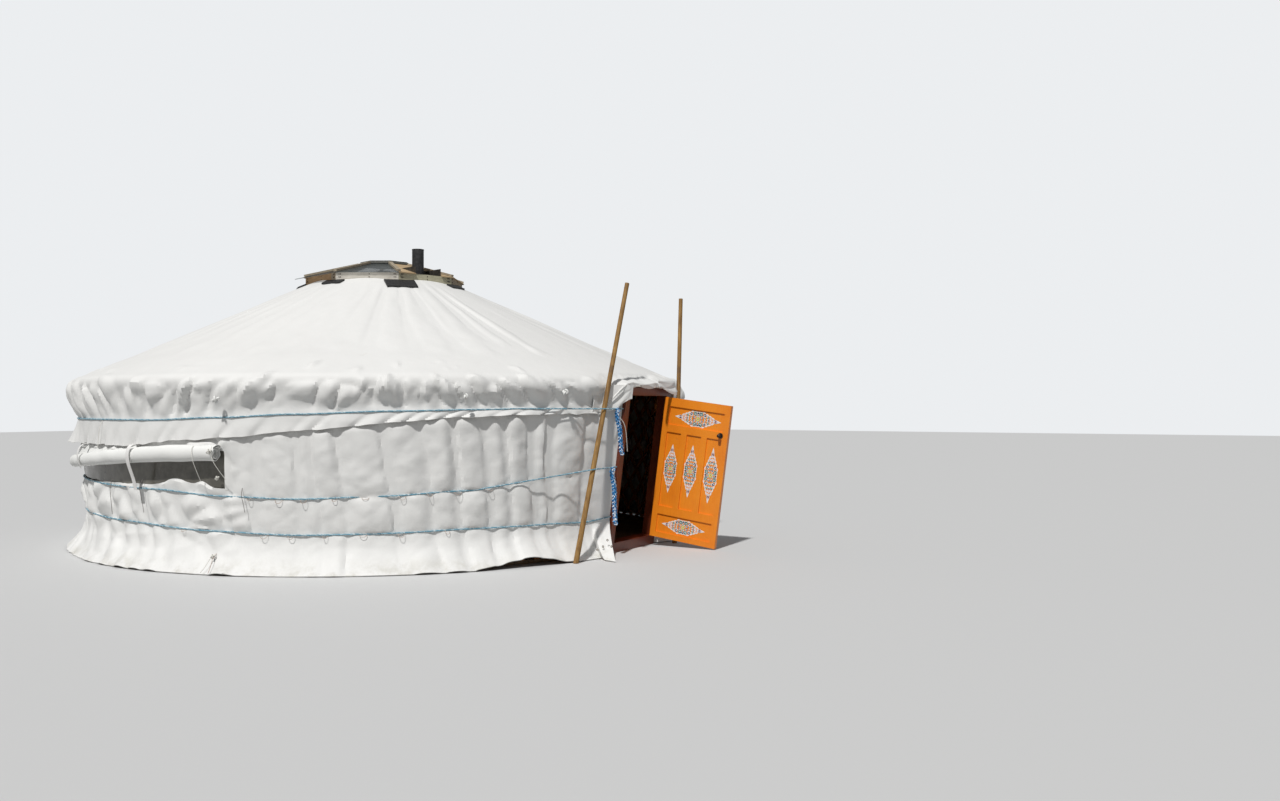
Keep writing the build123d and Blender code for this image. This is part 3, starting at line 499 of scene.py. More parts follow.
def wood_paint(name, dark, light, along, roughness, grain, wear, worn=(0.45, 0.36, 0.27)):
    """Timber with grain along one axis, streaks and worn patches."""
    paint = Paint(name, roughness=roughness)
    stretch = [1.0, 1.0, 1.0]
    stretch[along] = 0.07
    lines = paint.noise(grain, 6, 0.65, stretch)
    cloud = paint.noise(2.3, 4, 0.6)
    timber = paint.mix(dark, light, (lines * 0.8 + cloud * 0.4 - 0.1).between(0.15, 0.85))
    paint.colour(paint.mix(timber, worn, paint.noise(9, 6, 0.7).between(0.6, 0.68) * wear))
    paint.bump(lines, 0.003, 0.5)
    return paint


def painted_timber(name, colour, shade, roughness=0.42, wear=0.25, worn=(0.35, 0.2, 0.1)):
    """Gloss paint on timber: brush marks, uneven tone, chips and dirt."""
    paint = Paint(name, roughness=roughness, coat_weight=0.12, coat_roughness=0.3)
    strokes = paint.noise(14, 4, 0.6, (9, 9, 0.6))
    cloud = paint.noise(2.8, 5, 0.65)
    chips = paint.noise(21, 7, 0.72).between(0.63, 0.67)
    tone = paint.mix(shade, colour, (cloud * 0.8 + strokes * 0.45).between(0.3, 0.85))
    paint.colour(paint.mix(tone, worn, chips * wear))
    paint.bump(strokes * 0.5 + chips * -0.5, 0.0016, 0.5)
    return paint


def plain_paint(name, dark, light, roughness, size, depth=0.0005, **constants):
    """One colour with slight unevenness."""
    paint = Paint(name, roughness=roughness, **constants)
    uneven = paint.noise(size, 5, 0.65)
    paint.colour(paint.mix(dark, light, uneven.between(0.3, 0.7)))
    paint.bump(uneven, depth, 0.4)
    return paint


def rope_paint(name, dark, light, thread):
    """Laid rope of three strands, one in its own shade, with fine threads across the lay."""
    paint = Paint(name, roughness=0.65)
    along, around, _ = paint.axes(paint.add("TexCoord", output="UV"))
    threads = paint.noise(1, 2, 0.5, at=paint.vector(along * 260, around * 9, 0))
    wear = paint.noise(1, 4, 0.6, at=paint.vector(along * 5, around, 3))
    marked = ((around * 3).floor() - 1.5).size() < 0.75
    lay = paint.mix(dark, light, (threads * 0.7 + wear * 0.5 - 0.1).between(0.25, 0.75))
    flecks = paint.noise(1, 2, 0.5, at=paint.vector(along * 70, around * 4, 7)) > 0.52
    paint.colour(paint.mix(lay, thread, marked * flecks * 0.85))
    paint.bump(threads, 0.0012, 0.6)
    return paint


def board_paint():
    """The crown's eight boards, each in its own weathered tone."""
    paint = Paint("crown_board_timber", roughness=0.8)
    x, y, _ = paint.axes()
    turn = (y - CROWN_CENTRE.y).arctan(x - CROWN_CENTRE.x)
    number = (turn * (4 / pi) - BOX_TURN / BOX_SIDE).floor()
    lines = paint.noise(9, 6, 0.7, (1, 1, 13))
    stains = paint.noise(6, 5, 0.7)
    tone = (lines * 0.75 + stains * 0.5 - 0.12).between(0.2, 0.8)
    timber = paint.mix((0.20, 0.15, 0.10), (0.46, 0.39, 0.29), tone)
    for board, dark, light in ((3, (0.22, 0.12, 0.055), (0.52, 0.35, 0.19)),
                               (-4, (0.40, 0.37, 0.32), (0.74, 0.71, 0.64)),
                               (-3, (0.30, 0.28, 0.19), (0.60, 0.57, 0.42))):
        timber = paint.mix(timber, paint.mix(dark, light, tone), (number - board).size() < 0.5)
    paint.colour(paint.mix(timber, (0.10, 0.085, 0.07), stains.between(0.66, 0.74) * 0.5))
    paint.bump(lines, 0.004, 0.5)
    return paint


def floor_paint():
    """Floor boards laid from front to back, with dark gaps and their own tones."""
    paint = Paint("floor_boards", roughness=0.55)
    x, y, _ = paint.axes()
    across = x / 0.118
    own = paint.noise(1, 1, at=paint.vector(across.floor() * 3.7, y * 0.25, 0))
    lines = paint.noise(40, 6, 0.65, (1, 0.05, 1))
    gap = 1 - (across.fraction() - 0.5).size().between(0.47, 0.495)
    tone = (lines * 0.7 + own * 0.6 - 0.2).between(0.1, 0.9)
    board = paint.mix((0.15, 0.09, 0.045), (0.36, 0.24, 0.13), tone)
    paint.colour(paint.mix((0.02, 0.015, 0.01), board, gap))
    paint.bump(gap + lines * 0.15, 0.002, 0.6)
    return paint


def pole_paint():
    """A barked sapling pole: long streaks, darker rings at old knots, and pale bare places."""
    paint = Paint("sapling_pole", roughness=0.6)
    x, y, z = paint.axes()
    streak = paint.noise(60, 5, 0.6, (1, 1, 0.05))
    cloud = paint.noise(6, 4, 0.6, (1, 1, 0.4))
    rings = paint.noise(1, 2, 0.4, at=paint.vector(x * 0.3, y * 0.3, z * 4.1)).between(0.60, 0.64)
    tone = (streak * 0.6 + cloud * 0.7 - 0.15).between(0.25, 0.9)
    bark = paint.mix((0.13, 0.058, 0.014), (0.50, 0.29, 0.085), tone)
    paint.colour(paint.mix(bark, (0.13, 0.07, 0.03), rings * 0.6))
    paint.bump(streak + rings * -0.4, 0.003, 0.5)
    return paint


wall_canvas = canvas_paint("wall_canvas_white", (0.79, 0.79, 0.78), 0.5)
roof_canvas = canvas_paint("roof_canvas_white", (0.80, 0.80, 0.79))
flap_canvas = canvas_paint("flap_canvas_white", (0.83, 0.835, 0.82))
felt = felt_paint()
girth_rope = rope_paint("pale_blue_rope", (0.05, 0.18, 0.27), (0.19, 0.41, 0.52),
                        (0.60, 0.70, 0.74))
hank_rope = rope_paint("bright_blue_rope", (0.006, 0.085, 0.30), (0.035, 0.29, 0.60),
                       (0.90, 0.93, 0.95))
white_cord = plain_paint("white_cord", (0.62, 0.61, 0.56), (0.84, 0.83, 0.79), 0.8, 200)
dark_cord = plain_paint("dark_cord", (0.10, 0.09, 0.085), (0.20, 0.18, 0.17), 0.8, 200)
brown_cord = plain_paint("brown_cord", (0.40, 0.30, 0.25), (0.56, 0.46, 0.40), 0.8, 200)
webbing = plain_paint("white_strap", (0.74, 0.73, 0.72), (0.86, 0.85, 0.84), 0.8, 120)
brass = plain_paint("dull_eyelet", (0.16, 0.12, 0.08), (0.30, 0.24, 0.16), 0.4, 80, metallic=0.8)
# The window's vinyl: a grey-brown tint plus painted shade, a dark colour that stands for the unlit
# inside seen through the clear sheet, which is left mostly opaque
vinyl_and_painted_dark = plain_paint("vinyl_tint_painted_dark", (0.11, 0.105, 0.09), (0.19, 0.18, 0.155), 0.16, 7, 0.004,
                          alpha=0.86)
black_steel = plain_paint("flue_black", (0.022, 0.022, 0.024), (0.055, 0.055, 0.058), 0.45, 30,
                          0.0004, metallic=0.35)
screw_steel = plain_paint("screw_steel", (0.06, 0.05, 0.045), (0.16, 0.13, 0.11), 0.5, 90, 0.0002,
                          metallic=0.7)
WHITE, TEAL, NAVY, PINK, YELLOW = (
    plain_paint("ornament_" + name, dark, light, 0.4, 60, 0.0002) for name, dark, light in (
        ("white", (0.80, 0.80, 0.78), (0.90, 0.90, 0.88)),
        ("teal", (0.01, 0.13, 0.11), (0.04, 0.25, 0.20)),
        ("navy", (0.01, 0.02, 0.08), (0.03, 0.05, 0.16)),
        ("pink", (0.66, 0.22, 0.26), (0.82, 0.38, 0.40)),
        ("yellow", (0.80, 0.62, 0.05), (0.90, 0.74, 0.12))))


def dress(names, paint):
    """Gives the CAD's own nodes a finish."""
    for name in names.split():
        nodes[name].data.materials.clear()
        nodes[name].data.materials.append(paint.material)


dress("lattice_wall_1 lattice_wall_2 lattice_wall_3 lattice_wall_4 lattice_wall_5 roof_poles",
      wood_paint("orange_stained_wood", (0.36, 0.115, 0.022), (0.66, 0.26, 0.06), 2, 0.5, 30, 0.2))
dress("crown_ring crown_spokes",
      wood_paint("crown_ring_wood", (0.36, 0.11, 0.02), (0.66, 0.25, 0.06), 0, 0.5, 24, 0.2))
dress("floor_deck", floor_paint())
dress("crown_boards", board_paint())
dress("crown_hips", wood_paint("crown_batten", (0.21, 0.17, 0.12), (0.50, 0.43, 0.32), 2, 0.8, 30,
                               0.4, (0.3, 0.27, 0.22)))
dress("crown_ply", wood_paint("weathered_ply", (0.30, 0.20, 0.11), (0.62, 0.47, 0.28), 0, 0.8, 9,
                              0.35, (0.30, 0.27, 0.22)))
dress("crown_panes", plain_paint("clear_crown_panel", (0.10, 0.12, 0.13), (0.20, 0.22, 0.21),
                                 0.15, 12, 0.001, alpha=0.42))
dress("crown_cap", plain_paint("cap_roof_felt", (0.045, 0.046, 0.042), (0.12, 0.12, 0.105),
                               0.75, 60, 0.003))
dress("crown_pads", plain_paint("pad_rubber", (0.010, 0.010, 0.011), (0.030, 0.030, 0.032),
                                0.6, 50, 0.001))
dress("door_pole_left door_pole_right", pole_paint())
dress("door_threshold door_jamb_left door_jamb_right door_lintel",
      painted_timber("dark_red_gloss", (0.165, 0.030, 0.008), (0.072, 0.012, 0.004)))
dress("leaf_frame leaf_panels",
      painted_timber("orange_gloss", (0.95, 0.300, 0.016), (0.82, 0.210, 0.010), 0.36, 0.3,
                     (0.60, 0.2, 0.03)))
dress("flue_pipe", black_steel)
dress("flue_flashing", plain_paint("tray_metal", (0.05, 0.048, 0.046), (0.12, 0.105, 0.09),
                                   0.5, 24, 0.0006, metallic=0.6))
dress("leaf_latch", plain_paint("knob_black", (0.02, 0.016, 0.014), (0.05, 0.035, 0.028),
                                0.3, 40, 0.0002, metallic=0.3))
dress("leaf_hinges frame_hinges",
      plain_paint("hinge_steel", (0.20, 0.19, 0.18), (0.36, 0.34, 0.32), 0.4, 60, 0.0003,
                  metallic=0.85))


# Light, floor and camera
def plain_light():
    """Soft light all round, and a paler backdrop where the camera looks past the object."""
    world = bpy.data.worlds.new("plain_light")
    bpy.context.scene.world = world
    world.use_nodes = True
    tree = Tree(world.node_tree)
    light = tree.nodes["Background"]
    tree.fill(light, {"Color": (0.95, 0.97, 1.0, 1), "Strength": 0.25})
    shown = tree.add("Background", None, {"Color": (0.93, 0.95, 0.97, 1), "Strength": 0.9})
    camera, through = (tree.add("LightPath", output=kind) for kind in
                       ("Is Camera Ray", "Is Transmission Ray"))
    both = {0: camera.larger(through), 1: Number(tree, light.outputs[0]), 2: shown}
    tree.fill(tree.nodes["World Output"], {"Surface": tree.add("MixShader", None, both)})


def pale_floor():
    only()
    bpy.ops.mesh.primitive_plane_add(size=90, location=(0, 0, -0.002))
    ground = bpy.context.object
    ground.name = "floor"
    pale = Paint("pale_floor", roughness=0.9)
    camera, glossy, through = (pale.add("LightPath", output=kind) for kind in
                               ("Is Camera Ray", "Is Glossy Ray", "Is Transmission Ray"))
    grey = pale.mix((0.34, 0.34, 0.335), (0.38, 0.38, 0.375), pale.noise(0.6, 3))
    pale.colour(pale.mix(grey, (0.62, 0.625, 0.63), camera + glossy + through))
    ground.data.materials.append(pale.material)


def sun_and_camera():
    bpy.ops.object.light_add(type="SUN", location=(-6, -9, 12))
    sun = bpy.context.object
    sun.name = "key_light"
    sun.data.energy = 2.9
    sun.data.angle = radians(2.5)
    sun.data.color = (1.0, 0.985, 0.96)
    around, above = radians(193), radians(53)
    towards = -Vector((cos(around) * cos(above), sin(around) * cos(above), sin(above)))
    sun.rotation_mode = "QUATERNION"
    sun.rotation_quaternion = towards.to_track_quat("-Z", "Y")
    only()
    bpy.ops.object.camera_add(location=(-8.32, -7.49, 1.285))
    camera = bpy.context.object
    camera.rotation_euler = (radians(90.3), 0, radians(28.97 - 90))
    camera.data.sensor_width = 36
    camera.data.lens = 29.81
    camera.data.clip_end = 300
    bpy.context.scene.camera = camera
    bpy.context.scene.view_settings.view_transform = "Standard"


plain_light()
pale_floor()
sun_and_camera()


def cloth(name, points, thickness, paints, replaced=(), offset=0, crease=60,
          hole=None):
    """A sheet pulled to points[column, row], with its hole cut and its thickness given.

    Of two paints the second goes on the inner face."""
    thing = surface(name, points)
    if hole is not None:
        inside = hole.T.reshape(-1)
        with edited(thing) as mesh:
            cut = [face for face in mesh.faces
                   if all(inside[corner.index] for corner in face.verts)]
            bmesh.ops.delete(mesh, geom=cut, context="FACES")
    for paint in paints:
        thing.data.materials.append(paint.material)
    apply_modifier(thing, "SOLIDIFY", thickness=thickness, offset=offset,
                   material_offset=len(paints) - 1)
    return finish_piece(smooth_faces(thing, crease), name, replaced=replaced)


# Wall canvas
MEAN_FOLDS = fold_lines(11, 5.6, 278, 624)
FOLD_SHIFTS = [np.random.default_rng(20 + part).uniform(-1.0, 1.0, len(MEAN_FOLDS))
               for part in range(3)]
WALL_FOLDS = [MEAN_FOLDS + 0.12 * shift for shift in FOLD_SHIFTS]


def wall_base(angle, height):
    """The plain wall with its spread hem, and the strips that close it to the two jambs."""
    lift = 0.075 * smooth(1 - np.abs(angle - 602.5) / 9.5) * np.clip(1 - height / HEM_HEIGHT, 0, 1)
    points = on_circle(np.clip(angle, FIRST_ANGLE, LAST_ANGLE),
                       wall_radius(height) + hem_flare(height), height + lift)
    for side, past in ((1, FIRST_ANGLE - angle), (-1, angle - LAST_ANGLE)):
        share = np.clip(past / STRIP_WIDTH, 0, 1)[..., None]
        beside = np.full_like(height, side * (JAMB_OUTSIDE + 0.0004))
        jamb = np.stack([beside, door_front(height), height], axis=-1)
        points = points * (1 - share) + jamb * share
    share = share[..., 0]
    loose = np.clip(1 - height / 0.32, 0, 1) ** 1.5 * (share > 0) * smooth(share * 4)
    points[..., 0] -= loose * (0.1 + 0.287 * share)
    points[..., 1] -= loose * (0.05 + 0.28 * share)
    return points


def wall_swell(angle, height):
    """How far the cloth stands out between the ropes that pull it in."""
    levels = TOP_ROPE, MIDDLE_ROPE, LOW_ROPE, BAND_EDGE
    top, middle, low, band = (level_along(level, angle) for level in levels)
    side = smooth((angle - 500) / 8) * smooth((562 - angle) / 8)
    wander = 0.55 * rough(angle * 0.2, height * 2.4, 31)
    lean = (height - 0.65) * 4.2 * rough(angle * 0.07, height * 0, 35)
    swell = np.full_like(height, -0.003)
    for part, (foot, head, deep) in enumerate(((-low * 1.3, low, 0.060), (low, middle, 0.068),
                                               (middle, top, 0.082))):
        share = np.clip((height - foot) / (head - foot), 0, 1)
        slant = lean + (height - (foot + head) / 2) * 9 * side
        fold = folds(angle + wander + slant, WALL_FOLDS[part], 41, 0.37, 1.45)
        reach = 0.70 + 0.30 * rough(angle * 0.3, height * 2.2, 45 + part)
        dent = facets(angle * 0.11 + height * 0.9, height * 2.7 - angle * 0.03, 51 + part)
        pucker = facets(angle * 0.30, height * 6, 61 + part)
        crease = (0.012 + 0.032 * side) * (dent - 0.5) + 0.005 * (pucker - 0.5)
        amount = np.maximum(deep * (fold - 0.12) * reach + crease, -0.004)
        swell += np.where((share > 0) & (share < 1), np.sin(pi * share) ** 0.30 * amount, 0)
    for part, rope in enumerate((low, middle)):
        near = np.exp(-((height - rope) / 0.06) ** 2)
        swell += near * 0.006 * (facets(angle * 0.6, height * 9, 71 + part) - 0.6)
    spread = np.clip(1 - height / HEM_HEIGHT, 0, 1)
    swell = swell * (1 - 0.55 * spread) + spread * 0.016 * rough(angle * 0.14, height * 1.2, 81)
    under = np.clip((band + 0.006 - height) / 0.035, 0.25, 1)
    swell *= np.where(height > middle + 0.1, under, 1)
    swell *= np.clip((angle - FIRST_ANGLE + 5) / 8, 0, 1)
    swell *= np.clip((LAST_ANGLE + STRIP_WIDTH - angle) / 8, 0, 1)
    window = smooth((angle - 501) / 2) * smooth((557 - angle) / 1.6)
    rim = window * smooth(1 - np.abs(height - (SILL + WINDOW_HEAD) / 2) / 0.22)
    return swell * (1 - rim) + 0.004 * rim


def wall_sheet(name, start, end, *replaced):
    """One length of wall canvas, with the felt behind it as its inner face."""
    angles = np.arange(round((end - start) / COLUMN_STEP) + 1) * COLUMN_STEP + start
    strip = np.linspace(0, STRIP_WIDTH, 13)[1:]
    if start == FIRST_ANGLE:
        angles = np.concatenate([start - strip[::-1], angles])
    if end == LAST_ANGLE:
        angles = np.concatenate([angles, end + strip])
    steps = ((0.002, HEM_HEIGHT, 20), (HEM_HEIGHT, SILL, 19), (SILL, WINDOW_HEAD, 18),
             (WINDOW_HEAD, COVER_TOP, 26))
    levels = np.unique(np.concatenate([np.linspace(*step) for step in steps]))
    angle, height = np.meshgrid(angles, levels, indexing="ij")
    hole = ((angle >= WINDOW_START) & (angle <= WINDOW_END)
            & (height >= SILL - 0.0005) & (height <= WINDOW_HEAD + 0.0005))
    bump = 0.020 + 0.060 * np.exp(-((angle - 545.5) / 3) ** 2)
    bump += 0.034 * np.exp(-((angle - 551) / 1.3) ** 2)
    bump += 0.030 * np.abs(rough((angle - 500) * 0.16, 0 * angle, 91))
    window = smooth((angle - 503) / 3) * smooth((557.2 - angle) / 1.7)
    height += np.where(height <= SILL + 0.0001, bump * window * smooth((height - 0.44) / 0.18), 0)
    points = wall_base(angle, height)
    swell = wall_swell(angle, height)
    if start != FIRST_ANGLE:
        swell += 0.009 * smooth(1 - np.abs(angle - start) / 1.2)
    points = points + outward_of(points) * swell[..., None]
    points[..., 2] = np.maximum(points[..., 2], 0.0075)
    thing = cloth(name, points, 0.007, [wall_canvas, felt], replaced=replaced, offset=-1, crease=32,
                  hole=hole)


wall_sheet("wall_canvas_east", FIRST_ANGLE, 420.1, "wall_cover_1", "wall_cover_2")
wall_sheet("wall_canvas_back", 419.3, 557.7, "wall_cover_3", "wall_cover_4", "wall_cover_5")
wall_sheet("wall_canvas_west", 556.7, LAST_ANGLE, "wall_cover_6")


# Roof canvas
EAVE_GATHERS = fold_lines(12, 4.2, 236, 610)
ROOF_FOLDS = fold_lines(13, 6.6, 230, 616)
BAND_ROWS, BULGE_ROWS, SLOPE_ROWS = 9, 27, 38
SLOPE_START = 0.12
LATTICE_CELL = (360 - 2 * LATTICE_END) / LATTICE_CELLS


def roof_line(angle):
    """The eave and the crown's edge at each angle."""
    turn = np.radians(angle)
    across = np.cos(turn) * CROWN_CENTRE.x + np.sin(turn) * CROWN_CENTRE.y
    reach = across + np.sqrt(across ** 2 + CROWN_RADIUS ** 2 - CROWN_CENTRE.length_squared)
    return (on_circle(angle, EAVE_RADIUS, np.full_like(angle, EAVE_HEIGHT)),
            on_circle(angle, reach, np.full_like(angle, CROWN_HEIGHT)))


def roof_profile(angle):
    """The cover's outline at one angle, from its hem to the eave, in steps."""
    turn, station = from_door(angle)
    tuck = level_at(TOP_ROPE, station) + 0.012
    outline = [(wall_radius(level) + BAND_OUT, level)
               for level in (level_at(BAND_EDGE, station), tuck)]
    rounded = float(smooth((526 - station) / 10))
    for share, slanted, full in ((0.10, 0.20, 0.45), (0.35, 0.43, 0.78), (0.7, 0.78, 0.98),
                                 (1, 1, 1)):
        outline.append((EAVE_RADIUS + EAVE_LIP * (slanted + (full - slanted) * rounded),
                        tuck + (LIP_HEIGHT - tuck) * share))
    for share, reach in ((0.35, 0.95), (0.8, 0.66)):
        outline.append((EAVE_RADIUS + EAVE_LIP * reach,
                        LIP_HEIGHT + (EAVE_HEIGHT - LIP_HEIGHT) * share))
    hood = float(smooth((CORNER - abs(turn)) / (CORNER - 8.2)))
    front = HOOD_FRONT / cos(radians(turn)) if hood else 0.0
    shaped = []
    for place, (radius, height) in enumerate(outline):
        share = place / len(outline)
        ahead = front + (EAVE_RADIUS - front) * share
        above = HOOD_HEIGHT + (EAVE_HEIGHT - HOOD_HEIGHT) * share
        shaped.append((radius + (ahead - radius) * hood, height + (above - height) * hood))
    return np.array(shaped)


def roof_swell(angle, band, bulge, slope, hood):
    """How far the roof cloth stands off its plain shape, over the band, the eave and the slope."""
    turn, station = from_door(angle)
    standing = band * (0.020 + 0.008 * rough(station * 0.3, band, 101)
                       + 0.007 * rough(station * 0.9, band * 2, 102))
    standing += band * 0.020 * (folds(station + 3 * band, EAVE_GATHERS, 116, 0.3, 1.3) - 0.4)
    standing += band ** 1.5 * 0.075 * np.exp(-((station - 507) / 4.5) ** 2)
    in_bulge = np.sin(pi * bulge) ** 0.6 * (band < 1e-6)
    skew = station + 9 * bulge * rough(station * 0.08, bulge * 0, 114)
    tents = facets(skew * 0.105, bulge * 0.95, 105)
    dents = facets(skew * 0.26 + 3, bulge * 1.7, 108)
    pucker = folds(skew, EAVE_GATHERS, 104, 0.22, 1.0)
    low = 1 - smooth(bulge * 1.7 - 0.35)
    uneven = 0.62 + 0.38 * rough(station * 0.09, bulge * 0, 115)
    swell = in_bulge * (0.085 * (tents - 0.5) * uneven + 0.034 * (dents - 0.5)
                        + low * 0.050 * (pucker - 0.5))
    folded = 0.16 + 0.84 * np.maximum(smooth((300 - station) / 20), smooth((station - 560) / 45))
    drift = station + 5.0 * slope * folded + 0.9 * rough(station * 0.1, slope * 3, 106)
    in_slope = smooth(slope * 5) * smooth((1 - slope) * 2.2)
    swell += in_slope * 0.026 * folded * (folds(drift, ROOF_FOLDS, 107, 0.9, 2.6) - 0.45)
    poles = np.sin(pi * (station - DOORWAY - LATTICE_END) / LATTICE_CELL) ** 2
    swell += in_slope * (0.0045 * poles - 0.003)
    near_eave = smooth(slope * 14) * smooth((0.35 - slope) * 5)
    swell += near_eave * 0.010 * (facets(station * 0.10, slope * 3.5, 112) - 0.5)
    slack = 0.004 * rough(station * 0.35, slope * 9, 109)
    swell += smooth(slope * 9) * smooth((1 - slope) * 6) * slack
    away = smooth((np.abs(turn) - 1.0) / 7)
    swell = (standing + swell) * (0.25 + 0.75 * away) * (1 - 0.6 * hood)
    crushed = facets(turn * 0.17, (bulge - band) * 0.9, 113) - 0.5
    swell += hood * 0.020 * crushed * smooth((0.12 - slope) / 0.12)
    least = -0.040 + 0.046 * smooth((bulge - 0.30) / 0.25) - 0.010 * smooth(slope * 8)
    return np.clip(swell, least, 0.10 - 0.065 * smooth((bulge - 0.35) / 0.3))


def roof_sheet(name, start, end, *replaced):
    """A third of the roof canvas, from the loose band under the rope up to the crown."""
    angles = np.arange(round((end - start) / COLUMN_STEP) + 1) * COLUMN_STEP + start
    columns = []
    for angle, eave, crown in zip(angles, *roof_line(angles)):
        shaped = roof_profile(angle)
        points = on_circle(angle, shaped[:, 0], shaped[:, 1])
        bulge = np.vstack([points[1:], eave, eave + (crown - eave) * SLOPE_START])
        bulge = eased(evenly(bulge, count=BULGE_ROWS)[0], 2)
        band = points[0] + (points[1] - points[0]) * np.linspace(0, 1, BAND_ROWS)[:, None]
        up = SLOPE_START + (1 - SLOPE_START) * np.linspace(0, 1, SLOPE_ROWS)[:, None]
        columns.append(np.vstack([band[:-1], bulge, (eave + (crown - eave) * up)[1:]]))
    points = np.array(columns)
    angle, row = np.meshgrid(angles, np.arange(points.shape[1]), indexing="ij")
    turn, station = from_door(angle)
    band = np.clip(1 - row / (BAND_ROWS - 1), 0, 1)
    bulge = np.clip((row - BAND_ROWS + 1) / (BULGE_ROWS - 1), 0, 1)
    slope = np.clip((row - BAND_ROWS - BULGE_ROWS + 2) / (SLOPE_ROWS - 1), 0, 1)
    hood = smooth((CORNER + 1 - np.abs(turn)) / 5)
    points = points + outward_of(points) * roof_swell(angle, band, bulge, slope, hood)[..., None]
    drop = band * hood * (0.030 + 0.012 * rough(turn * 0.5, row * 0, 110))
    points -= on_circle(angle, band ** 2 * hood * 0.022, drop)
    points[..., 2] += band * (1 - hood) * 0.006 * rough(station * 0.55, 0 * row, 111)
    thing = cloth(name, points, 0.006, [roof_canvas, felt], replaced=replaced, offset=-1, crease=32)


roof_sheet("roof_canvas_front", 242.5, 362.5, "roof_cover_1", "roof_cover_2")
roof_sheet("roof_canvas_back", 362.5, 482.5, "roof_cover_3", "roof_cover_4")
roof_sheet("roof_canvas_west", 482.5, 602.5, "roof_cover_5", "roof_cover_6")


# Ropes round the wall
def rope_line(stations, out, over_poles):
    """A girth rope's middle line, from one jamb round the wall to the other."""
    clear = ROPE_RADIUS + ROPE_GAP
    ends, leaves = {}, {}
    for side, angle, pole in ((1, DOORWAY, RIGHT_POLE), (-1, DOORWAY + 360, LEFT_POLE)):
        height = level_at(stations, angle)
        ends[side] = [(side * (JAMB_OUTSIDE + clear), door_front(height) - 2 * clear, height)]
        leaves[side] = CORNER
        if over_poles:
            foot, tip = np.array(pole)
            share = height / tip[2]
            centre = foot + (tip - foot) * share
            facing = degrees(atan2(centre[1], centre[0]))
            off = (POLE_RADIUS - POLE_TAPER * share + clear + ROPE_GAP) / cos(radians(WRAP))
            for wrap in (-WRAP, WRAP):
                turn = radians(facing + side * wrap)
                ends[side].append(centre + off * np.array((cos(turn), sin(turn), 0)))
            flat = (wall_radius(height) + out + ROPE_RADIUS) / hypot(*ends[side][-1][:2])
            leaves[side] = max(CORNER, abs(facing + 90) + degrees(acos(min(flat, 1))))
    angle = np.arange(DOORWAY + leaves[1], DOORWAY + 360 - leaves[-1], 0.6)
    height = level_along(stations, angle)
    radius = wall_radius(height) + hem_flare(height - ROPE_RADIUS) + out + clear
    line = np.vstack([ends[1], on_circle(angle, radius, height), ends[-1][::-1]])
    return eased(evenly(line, ROPE_STEP)[0], 3)


for rope, stations, out, over_poles in (("top", TOP_ROPE, BAND_OUT, True),
                                        ("middle", MIDDLE_ROPE, 0, True),
                                        ("low", LOW_ROPE, 0, False)):
    line, at = evenly(rope_line(stations, out, over_poles), ROPE_STEP)
    thing = strand("girth_rope_" + rope, line, at, ROPE_RADIUS, 9, 3, 0.075)
    finish_piece(thing, "girth_rope_" + rope, girth_rope, ["rope_" + rope])


# Hanks of spare rope at the door
def hank(name, route, node):
    """The spare end of a girth rope, plaited up short and hung beside the door."""
    line, at = evenly(spline_line(route, name), 0.005)
    sides, ups = across_of(line)
    close = (0.35 + 0.65 * smooth((at[-1] - at) / 0.03) * smooth(at / 0.02 + 0.2))[:, None]
    strands = []
    for number in range(3):
        turn = 2 * pi * (at / 0.092 + number / 3)[:, None]
        middle = line + close * (sides * 0.0150 * np.sin(turn) + ups * 0.0080 * np.sin(2 * turn))
        strands.append(strand("plait", middle, at, 0.0086, 9, 3, 0.05))
    plait = finish_piece(join(strands, name), name, hank_rope, [node])
    end = knot(name + "_knot", line[-1] + (0, 0, 0.008), 0.020, 0.0075, hank_rope)


hank("rope_hank_plait_upper",
     ((-0.512, -2.944, 1.25681), (-0.512, -2.944, 1.190), (-0.491, -2.962, 1.090),
      (-0.478, -2.957, 0.985), (-0.468, -2.964, 0.880)), "rope_hank_upper")
hank("rope_hank_plait_lower",
     ((-0.500, -2.885, 0.75481), (-0.500, -2.885, 0.700), (-0.488, -2.906, 0.590),
      (-0.484, -2.900, 0.440), (-0.474, -2.905, 0.280)), "rope_hank_lower")


# Strings, loops and knots
def string(name, route, diameter, paint):
    """A thin cord along a route, which starts where it leaves the cloth."""
    line, at = evenly(spline_line(route, name), 0.006)
    piece = finish_piece(strand(name, line, at, diameter / 2, 6), name, paint)


